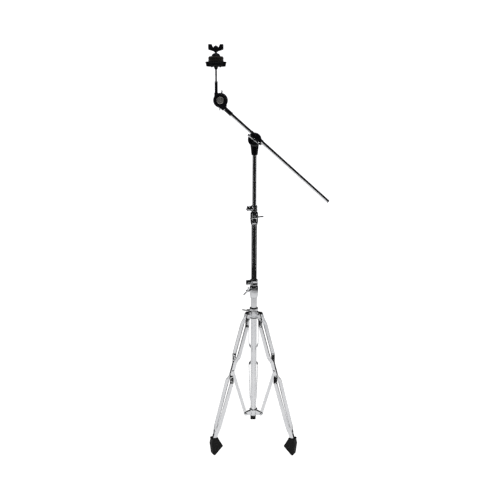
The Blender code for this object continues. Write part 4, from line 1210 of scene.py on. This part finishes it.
takes_over(socket_piece(), "boom_socket", BLACK_LACQUER, Matrix.Translation(tilt_point))

# %% Make the turning half, its cap and its bolt
ARM_RADIUS = 0.00635
ARM_WALL = 0.0012
SLEEVE_WALL = 0.001
roll_point, down_arm = axis_place("boom_roll")
square_up = Vector((-down_arm.z, 0, down_arm.x))
boom_place = basis(tilt_point, (0, -1, 0), down_arm)
ARM_OFFSET = (roll_point - tilt_point).dot(square_up)
ARM_FORWARD = -(roll_point - tilt_point).y


def hub_piece():
    """Z points forward and X down the arm."""
    hub = drum("hub", HUB_RADIUS, HUB_BACK, HUB_FRONT, FINE, 0.0008)
    groove = pipe("groove", HUB_RADIUS + 0.001, HUB_RADIUS - 0.0006, HUB_BACK + 0.0018, HUB_BACK + 0.0030)
    bore = drum("bore", ARM_RADIUS + GAP + SLEEVE_WALL + GAP, -0.05, 0.05, FINE)
    hole = drum("hole", BOLT_RADIUS + GAP, 0, 0.05)
    along = moved((0, ARM_OFFSET, ARM_FORWARD), (0, math.pi / 2, 0))
    return cut(hub, (groove, moved()), (bore, along), (hole, moved()))


def cap_piece():
    back = HUB_FRONT + GAP
    hole = BOLT_RADIUS + GAP
    profile = [
        (hole, back + 0.94 * CAP_THICKNESS),
        (0.34 * CAP_RADIUS, back + CAP_THICKNESS),
        (0.46 * CAP_RADIUS, back + CAP_THICKNESS),
        (0.50 * CAP_RADIUS, back + 0.88 * CAP_THICKNESS),
        (0.56 * CAP_RADIUS, back + 0.88 * CAP_THICKNESS),
        (0.60 * CAP_RADIUS, back + 0.96 * CAP_THICKNESS),
        (0.74 * CAP_RADIUS, back + 0.88 * CAP_THICKNESS),
        (0.86 * CAP_RADIUS, back + 0.74 * CAP_THICKNESS),
        (0.95 * CAP_RADIUS, back + 0.52 * CAP_THICKNESS),
        (CAP_RADIUS, back + 0.26 * CAP_THICKNESS),
        (CAP_RADIUS, back + 0.0006),
        (CAP_RADIUS - 0.0006, back),
        (hole, back),
    ]
    return turned("cap", profile)


takes_over(hub_piece(), "boom_hub", BLACK_LACQUER, boom_place)
takes_over(cap_piece(), "hub_cap", BLACK_LACQUER, boom_place)
BOOM_SLOPE = math.degrees(math.asin(-down_arm.z))
boom_seat = HUB_FRONT + GAP + CAP_THICKNESS + GAP
boom_shank = boom_seat + DISC_BACK + 0.001
big_wings = {"rise": 0.013, "tip": 0.0045, "thickness": 0.0085}
fit_bolt("boom_wing_bolt", "boom_bolt_turn", boom_seat, boom_shank, 0.066, 4 - BOOM_SLOPE, **big_wings)
print("boom arm slopes", round(BOOM_SLOPE, 2), "degrees")

# %% [markdown]
# ## The boom arm
# The arm is the thinnest tube. It slides through a chrome sleeve in the clamp, a nylon plug closes
# its lower end, and a ribbed nylon ferrule with a chrome ring at each end meets the tilter.

# %% Make the arm and what is on it
ARM_UPPER = 0.181
ARM_LOWER = 0.380
SLEEVE_HALF = 0.0305
FERRULE_RADIUS = 0.0083
FERRULE_LENGTH = 0.035
TILTER_ALONG = 0.197
HOUSING_TAIL = 0.0336
RING_WIDTH = 0.0024
arm_place = basis(roll_point, down_arm, square_up)

sleeve_inner = ARM_RADIUS + GAP
sleeve = pipe("sleeve", sleeve_inner + SLEEVE_WALL, sleeve_inner, -SLEEVE_HALF, SLEEVE_HALF, 0.0002)
takes_over(sleeve, "boom_sleeve", TUBE_CHROME, arm_place)
arm = pipe("arm", ARM_RADIUS, ARM_RADIUS - ARM_WALL, -ARM_UPPER, ARM_LOWER)
takes_over(arm, "boom_arm", TUBE_CHROME, arm_place)

plug_fit = ARM_RADIUS - ARM_WALL - GAP
end_plug = [
    (0, 0.004),
    (ARM_RADIUS - 0.0022, 0.0040),
    (ARM_RADIUS - 0.0008, 0.0034),
    (ARM_RADIUS, 0.0022),
    (ARM_RADIUS, GAP),
    (plug_fit, GAP),
    (plug_fit, -0.0112),
    (plug_fit - 0.0008, -0.012),
    (0, -0.012),
]
plug_place = arm_place @ Matrix.Translation((0, 0, ARM_LOWER))
takes_over(turned("end plug", end_plug), "boom_end_plug", BLACK_NYLON, plug_place)


def ferrule_profile():
    """Seats for the rings at both ends, and five shallow ribs between them."""
    bore = ARM_RADIUS + GAP
    seat = FERRULE_RADIUS - 0.0007
    points = [(seat, FERRULE_LENGTH), (seat, FERRULE_LENGTH - RING_WIDTH)]
    points.append((FERRULE_RADIUS, FERRULE_LENGTH - RING_WIDTH - 0.0002))
    ribs = 5
    for i in range(ribs):
        middle = FERRULE_LENGTH * (0.74 - 0.48 * i / (ribs - 1))
        for step, depth in ((0.0010, 0), (0.0005, 0.0005), (-0.0005, 0.0005), (-0.0010, 0)):
            points.append((FERRULE_RADIUS - depth, middle + step))
    points += [(FERRULE_RADIUS, RING_WIDTH + 0.0002), (seat, RING_WIDTH), (seat, 0)]
    return points + [(bore, 0), (bore, FERRULE_LENGTH)]


ferrule_start = HOUSING_TAIL - TILTER_ALONG + GAP
ferrule_place = arm_place @ Matrix.Translation((0, 0, ferrule_start))
takes_over(turned("ferrule", ferrule_profile()), "ferrule", BLACK_NYLON, ferrule_place)
ring_inner = FERRULE_RADIUS - 0.0006
for name, foot in (("upper", 0.0001), ("lower", FERRULE_LENGTH - RING_WIDTH + 0.0001)):
    ring = pipe("ring", FERRULE_RADIUS + 0.0003, ring_inner, foot, foot + RING_WIDTH - 0.0002, 0.0002)
    trim(ring, f"ferrule_ring_{name}", "ferrule", TUBE_CHROME, ferrule_place)
print("arm", ARM_UPPER + ARM_LOWER, "m long")

# %% [markdown]
# ## The seat tilter
# At the arm's upper end a black cast housing holds the ratchet that sets the cymbal's angle. From
# the front it is a disc with a tail round the arm, and a satin badge covers the bolt's end. Behind it
# are the toothed chrome rim, the disc that carries the rod, and a wing bolt that locks them.

# %% Cast the housing and its badge
TILTER_OFFSET = 0.0115
HOUSING_RADIUS = 0.024
HOUSING_TAIL_HALF = 0.011
HOUSING_DEPTH = 0.020
BADGE_RADIUS = 0.0135
BADGE_THICKNESS = 0.0022
seat_point, _ = axis_place("seat_tilt")
housing_place = basis(seat_point, (0, -1, 0), down_arm)
tilt_place = basis(seat_point, (0, -1, 0), (1, 0, 0))


def housing_piece():
    low = -TILTER_OFFSET - HOUSING_TAIL_HALF
    high = -TILTER_OFFSET + HOUSING_TAIL_HALF
    outline = arc((0, 0), HOUSING_RADIUS, 42, 270, 60)
    outline += [(HOUSING_TAIL, low), (HOUSING_TAIL, high)]
    body = rounded(plate("housing", outline, HOUSING_DEPTH), 0.0026, 5, 50)
    recess = drum("recess", BADGE_RADIUS + 0.0014, HOUSING_DEPTH / 2 - 0.0005, 0.05, FINE)
    island = drum("island", BADGE_RADIUS + 0.0006, -0.001, 0.06, FINE)
    cut(recess, (island, moved()))
    bore = drum("bore", ARM_RADIUS + GAP, 0, 0.05, FINE)
    arm_end = moved((TILTER_ALONG - ARM_UPPER - GAP, -TILTER_OFFSET, 0), (0, math.pi / 2, 0))
    hole = drum("hole", BOLT_RADIUS + GAP, -0.02, HOUSING_DEPTH / 2 - 0.003)
    return cut(body, (recess, moved()), (bore, arm_end), (hole, moved()))


def badge_piece():
    rim, high = BADGE_RADIUS, BADGE_THICKNESS
    profile = [
        (0, 0.80 * high),
        (0.34 * rim, 0.80 * high),
        (0.36 * rim, 0.70 * high),
        (0.40 * rim, 0.70 * high),
        (0.42 * rim, 0.80 * high),
        (0.72 * rim, 0.80 * high),
        (0.78 * rim, 0.96 * high),
        (0.84 * rim, high),
        (0.92 * rim, 0.96 * high),
        (0.97 * rim, 0.78 * high),
        (rim, 0.50 * high),
        (rim, 0),
        (0, 0),
    ]
    return turned("badge", profile)


takes_over(housing_piece(), "tilter_housing", BLACK_LACQUER, housing_place)
badge_place = housing_place @ Matrix.Translation((0, 0, HOUSING_DEPTH / 2 + GAP))
takes_over(badge_piece(), "tilter_badge", BADGE_METAL, badge_place)

# %% Cut the toothed rim and the rod's disc
RIM_RADIUS = 0.0268
RIM_THICKNESS = 0.0048
RIM_TEETH = 72
ROD_HUB_RADIUS = 0.0285
ROD_HUB_THICKNESS = 0.0135
ROD_HUB_SOCKET = 0.006
ROD_OFFSET = 0.0163
ROD_SLEEVE_RADIUS = 0.0058
ROD_BOSS_RADIUS = 0.0078
ROD_BOSS_TOP = 0.029
RIM_FRONT = -HOUSING_DEPTH / 2 - GAP
ROD_HUB_BACK = RIM_FRONT - RIM_THICKNESS - GAP - ROD_HUB_THICKNESS


def rim_piece():
    outline = []
    for tooth in range(RIM_TEETH):
        for share, depth in ((0.0, 0.0007), (0.25, 0.0007), (0.45, 0), (0.80, 0)):
            turn = 2 * math.pi * (tooth + share) / RIM_TEETH
            outline.append(((RIM_RADIUS - depth) * math.cos(turn), (RIM_RADIUS - depth) * math.sin(turn)))
    hole = arc((0, 0), 0.55 * ROD_HUB_RADIUS, 0, 360, FINE)[:-1]
    return plate("rim", outline, RIM_THICKNESS, [hole])


def rod_hub_piece():
    hub = drum("rod hub", ROD_HUB_RADIUS, 0, ROD_HUB_THICKNESS, FINE, 0.0015)
    rounded(hub, 0.0006, 3)
    up = moved((-ROD_OFFSET, 0, ROD_HUB_THICKNESS - ROD_BOSS_RADIUS), (-math.pi / 2, 0, 0))
    boss = drum("boss", ROD_BOSS_RADIUS, -0.004, ROD_BOSS_TOP, FINE, 0.0008)
    weld(hub, (boss, up))
    socket = drum("socket", ROD_SLEEVE_RADIUS + GAP, ROD_HUB_SOCKET, 0.05, FINE)
    hole = drum("hole", BOLT_RADIUS + GAP, -0.02, 0.05)
    return cut(hub, (socket, up), (hole, moved()))


rim_place = tilt_place @ Matrix.Translation((0, 0, RIM_FRONT - RIM_THICKNESS / 2))
takes_over(rim_piece(), "ratchet_rim", CAST_CHROME, rim_place)
rod_hub_place = tilt_place @ Matrix.Translation((0, 0, ROD_HUB_BACK))
takes_over(rod_hub_piece(), "rod_hub", BLACK_LACQUER, rod_hub_place)
tilter_seat = GAP - ROD_HUB_BACK
tilter_shank = tilter_seat + HOUSING_DEPTH / 2 - 0.004
long_wings = {"rise": 0.016, "tip": 0.0045}
fit_bolt("tilter_wing_bolt", "tilter_bolt_turn", tilter_seat, tilter_shank, 0.078, 98, **long_wings)
print("tilter at", tuple(round(value, 4) for value in seat_point))

# %% [markdown]
# ## The cymbal's seat
# The rod stands in a black sleeve. On it are stacked a cup, two felts with a nylon bushing through
# them, a domed washer and the wing nut. A cymbal would lie between the felts. All are turned, and
# the nut has two moulded ears.

# %% Stand the rod
nut_point, _ = axis_place("wing_nut_turn")
ROD_RADIUS = 0.0035
ROD_BORE = ROD_RADIUS + GAP
ROD_SLEEVE_TOP = 0.0675
ROD_TOP = 0.2025
stack_place = Matrix.Translation((nut_point.x, nut_point.y, seat_point.z))
sleeve_foot = ROD_HUB_SOCKET + GAP

sleeve = pipe("rod sleeve", ROD_SLEEVE_RADIUS, ROD_BORE, sleeve_foot, ROD_SLEEVE_TOP, 0.0004)
takes_over(sleeve, "rod_sleeve", BLACK_LACQUER, stack_place)
rod_profile = [
    (0, ROD_TOP),
    (ROD_RADIUS - 0.0008, ROD_TOP),
    (ROD_RADIUS, ROD_TOP - 0.0008),
    (ROD_RADIUS, sleeve_foot),
    (0, sleeve_foot),
]
takes_over(turned("rod", rod_profile, SMALL), "seat_rod", TUBE_CHROME, stack_place)
ring_foot = ROD_SLEEVE_TOP + 0.0001
ring = pipe("rod ring", ROD_SLEEVE_RADIUS + 0.0006, ROD_BORE, ring_foot, ring_foot + 0.0028, 0.0004)
trim(ring, "rod_ring", "rod_sleeve", CAST_CHROME, stack_place)

# %% Mould the cup
CUP_BOTTOM = 0.126
CUP_HEIGHT = 0.0165
CUP_TOP_RADIUS = 0.0406
CUP_FOOT_RADIUS = 0.0372
CUP_RECESS = 0.004
CUP_LIP = 0.0022
NUB_RING = 0.0158


def cup_piece():
    top = CUP_HEIGHT
    lip = CUP_TOP_RADIUS - CUP_LIP
    profile = [
        (CUP_TOP_RADIUS - 0.0005, top),
        (CUP_TOP_RADIUS, top - 0.0005),
        (CUP_TOP_RADIUS, top - 0.0022),
        (CUP_TOP_RADIUS - 0.0005, top - 0.0034),
        (CUP_TOP_RADIUS - 0.0016, top - 0.005),
        (CUP_FOOT_RADIUS + 0.0004, 0.0028),
        (CUP_FOOT_RADIUS, 0.0012),
        (CUP_FOOT_RADIUS - 0.0004, 0.0004),
        (CUP_FOOT_RADIUS - 0.0012, 0),
        (0.0098, 0),
        (0.0085, -0.0006),
        (ROD_BORE + 0.0014, -0.0104),
        (ROD_BORE + 0.0008, -0.011),
        (ROD_BORE, -0.011),
        (ROD_BORE, top - CUP_RECESS),
        (lip - 0.0012, top - CUP_RECESS),
        (lip - 0.0004, top - CUP_RECESS + 0.0006),
        (lip, top - 0.0005),
        (lip + 0.0005, top),
    ]
    cup = turned("cup", profile, 128)
    nubs = []
    for quarter in range(4):
        nub = drum("nub", 0.0028, -0.0036, 0.002, SMALL, 0.0005)
        turn = quarter * math.pi / 2
        nubs.append((nub, moved((NUB_RING * math.cos(turn), NUB_RING * math.sin(turn), 0))))
    return weld(cup, *nubs)


cup_place = stack_place @ Matrix.Translation((0, 0, CUP_BOTTOM))
takes_over(cup_piece(), "seat_cup", BLACK_NYLON, cup_place)

# %% [markdown]
# ## Felts
# The felts are soft, so each plain solid is replaced by a worked one. A felt is cut from a thick
# sheet: its faces are flat, its edge is rounded by wear and bulges where it is pressed, and the whole
# edge is a little uneven. The profile gives the bulge, and noise moves the points of the edge.

# %% Cut the felts
FELT_RADIUS = 0.0295
FELT_HEIGHT = 0.0118
BUSHING_RADIUS = 0.0055
FELT_FLOOR = CUP_BOTTOM + CUP_HEIGHT - CUP_RECESS + GAP


def felt_piece(upper_round, lower_round, seed):
    radius = FELT_RADIUS - 0.0003
    bore = BUSHING_RADIUS + GAP
    top = FELT_HEIGHT - 0.0001
    profile = arc((radius - upper_round, top - upper_round), upper_round, 90, 0, 10)
    straight = 8
    first, last = top - upper_round, lower_round
    for i in range(1, straight):
        share = i / straight
        height = first + (last - first) * share
        profile.append((radius + 0.0003 * math.sin(math.pi * share), height))
    profile += arc((radius - lower_round, lower_round), lower_round, 0, -90, 6)
    profile += [(radius * 0.6, 0), (bore + 0.0005, 0), (bore, 0.0005), (bore, top - 0.0005)]
    profile += [(bore + 0.0005, top), (radius * 0.6, top)]
    felt = turned("felt", profile, 160)
    for point in felt.data.vertices:
        out = Vector((point.co.x, point.co.y, 0))
        if out.length > radius * 0.7:
            uneven = noise.noise(point.co * 260 + Vector((seed, 0, 0)))
            tuft = noise.noise(point.co * 900 + Vector((0, seed, 0)))
            point.co += out.normalized() * (0.00016 * uneven + 0.00010 * tuft - 0.00008)
    return felt


lower_felt_place = stack_place @ Matrix.Translation((0, 0, FELT_FLOOR))
upper_felt_place = lower_felt_place @ Matrix.Translation((0, 0, FELT_HEIGHT + GAP))
lower_felt = takes_over(felt_piece(0.0016, 0.0010, 3), "lower_felt", PRESSED_FELT, lower_felt_place)
upper_felt = takes_over(felt_piece(0.0050, 0.0012, 8), "upper_felt", PRESSED_FELT, upper_felt_place)
bushing_top = FELT_FLOOR + 2 * (FELT_HEIGHT + GAP) + 0.004
bushing = pipe("bushing", BUSHING_RADIUS, ROD_BORE, FELT_FLOOR, bushing_top, 0.0003, SMALL)
takes_over(bushing, "rod_bushing", BLACK_NYLON, stack_place)
print("felts stand on", round(stack_place.translation.z + FELT_FLOOR, 4))

# %% Turn the washer and mould the wing nut
WASHER_RADIUS = 0.0164
WASHER_HEIGHT = 0.0122
NUT_NECK = 0.003
NUT_BOSS_RADIUS = 0.0095
NUT_BOSS_HEIGHT = 0.0215
NUT_HALF_SPAN = 0.0292
NUT_EAR_HEIGHT = 0.0288
NUT_EAR_THICKNESS = 0.0085


def washer_piece():
    bore = BUSHING_RADIUS + GAP
    turns = [math.radians(a) for a in range(16, 90, 6)]
    dome = [(WASHER_RADIUS * math.sin(t), WASHER_HEIGHT * (0.10 + 0.90 * math.cos(t))) for t in turns]
    profile = [(ROD_BORE, WASHER_HEIGHT), *dome, (WASHER_RADIUS, 0.0009), (WASHER_RADIUS - 0.0004, 0)]
    profile += [(bore, 0), (bore, WASHER_HEIGHT - 0.004), (ROD_BORE, WASHER_HEIGHT - 0.004)]
    return turned("washer", profile)


def nut_ear(sign):
    base = NUT_NECK
    foot = [(ROD_BORE + 0.0015, base + 0.0015), (NUT_HALF_SPAN - 0.0060, base + 0.0068)]
    edge = arc((NUT_HALF_SPAN - 0.0045, base + 0.0118), 0.0045, -70, 0, 8)
    top = base + NUT_EAR_HEIGHT
    crown = arc((NUT_HALF_SPAN - 0.0030, top - 0.0030), 0.0030, 0, 90, 8)
    inner = arc((NUT_HALF_SPAN - 0.0115, top - 0.0030), 0.0030, 90, 170, 8)
    root = [(NUT_BOSS_RADIUS + 0.0010, base + 0.0172), (ROD_BORE + 0.0015, base + 0.0165)]
    outline = [(sign * x, z) for x, z in foot + edge + crown + inner + root]
    return rounded(plate("ear", outline, NUT_EAR_THICKNESS), 0.0018, 4, 50)


def nut_piece():
    base = NUT_NECK
    boss = base + NUT_BOSS_HEIGHT
    profile = [
        (0.60 * NUT_BOSS_RADIUS, boss),
        (0.78 * NUT_BOSS_RADIUS, boss - 0.0006),
        (0.88 * NUT_BOSS_RADIUS, boss - 0.0020),
        (0.97 * NUT_BOSS_RADIUS, base + 0.0110),
        (NUT_BOSS_RADIUS, base + 0.0070),
        (0.92 * NUT_BOSS_RADIUS, base + 0.0034),
        (0.0074, base + 0.0006),
        (0.0065, base),
        (0.0045, base),
        (0.0045, 0.0004),
        (0.0041, 0),
        (ROD_BORE, 0),
        (ROD_BORE, boss),
    ]
    nut = turned("nut", profile)
    ears = [(nut_ear(sign), moved(turn=(math.pi / 2, 0, 0))) for sign in (1, -1)]
    return weld(nut, *ears)


washer_place = upper_felt_place @ Matrix.Translation((0, 0, FELT_HEIGHT + GAP))
takes_over(washer_piece(), "top_washer", BLACK_LACQUER, washer_place)
takes_over(nut_piece(), "wing_nut", BLACK_NYLON, Matrix.Translation(nut_point))
print("wing nut at", round(nut_point.z, 4), "m")

# %% [markdown]
# ## The studio
# Chrome shows what stands round it. The stand is on a white floor in a dark room, under one large
# soft light: so the low tubes mirror the bright floor, the high ones mirror the dark room, and soft
# boxes at the sides draw thin bright lines down them. The background itself is white to the camera.

# %% Lay the floor
FLOOR_RADIUS = 2.15


def floor_look():
    """Matte white paper that burns out to plain white where the camera looks straight at it."""
    look = Look("studio_floor")
    speck = look.noise(3, 3)
    look.surface(Base_Color=look.blend(speck, (0.88, 0.88, 0.88), (0.91, 0.91, 0.91)), Roughness=0.9)
    glow = look.node("ShaderNodeEmission", {}, {"Strength": 1.2})
    seen = look.node("ShaderNodeLightPath", output="Is Camera Ray")
    paper = Wire(look, look.shader.outputs[0])
    both = look.node("ShaderNodeMixShader", {}, {0: seen, 1: paper, 2: glow})
    look.finish(both, "Material Output")
    return look.material


shape = bmesh.new()
bmesh.ops.create_circle(shape, cap_ends=True, segments=96, radius=FLOOR_RADIUS)
floor = from_shape("studio_floor", shape)
floor.location = (COLUMN.x, COLUMN.y, cad_box[0][2] - 0.0005)
floor.data.materials.append(floor_look())

# %% Set the room's brightness
ROOM_SHADES = {"camera": (1.0, 1.2), "mirror": (0.012, 1.0), "soft": (0.20, 1.0)}
world = bpy.data.worlds.new("room")
bpy.context.scene.world = world
room = Look("room", world)
shades = {}
for name, (grey, strength) in ROOM_SHADES.items():
    feeds = {"Color": (grey, grey, grey * 1.02, 1), "Strength": strength}
    shades[name] = room.node("ShaderNodeBackground", {}, feeds)
in_mirrors = room.node("ShaderNodeLightPath", output="Is Glossy Ray")
in_camera = room.node("ShaderNodeLightPath", output="Is Camera Ray")
by_mirror = room.node("ShaderNodeMixShader", {}, {0: in_mirrors, 1: shades["soft"], 2: shades["mirror"]})
by_camera = room.node("ShaderNodeMixShader", {}, {0: in_camera, 1: by_mirror, 2: shades["camera"]})
room.finish(by_camera, "World Output")
print("room shades:", ", ".join(ROOM_SHADES))

# %% [markdown]
# ## Lights
# One wide soft box overhead lights everything evenly and isn't mirrored in the chrome. A small panel
# above the front is, and two tall narrow boxes at the sides give the tubes their thin highlights.


# %% Hang the soft boxes
def soft_box(name, at, aim_at, size, power, mirrored=True):
    """A rectangular light. One that isn't mirrored lights the stand but doesn't show in its chrome."""
    light = bpy.data.lights.new(name, "AREA")
    light.shape = "RECTANGLE"
    light.size, light.size_y = size
    light.energy = power
    lamp = bpy.data.objects.new(name, light)
    bpy.context.scene.collection.objects.link(lamp)
    lamp.location = COLUMN + Vector(at)
    lamp.rotation_euler = (Vector(aim_at) - Vector(at)).to_track_quat("-Z", "Y").to_euler()
    lamp.visible_glossy = mirrored
    return lamp


soft_box("overhead", (0, -0.4, 3.8), (0, 0, 0.8), (2.6, 2.6), 105, mirrored=False)
soft_box("ceiling_panel", (0.2, -1.6, 3.6), (0, 0, 1.0), (0.5, 0.5), 6)
soft_box("left_strip", (-2.2, -1.2, 1.3), (0, 0, 1.1), (0.12, 2.4), 1.4)
soft_box("right_strip", (2.3, -0.7, 1.3), (0, 0, 1.1), (0.12, 2.4), 1.6)
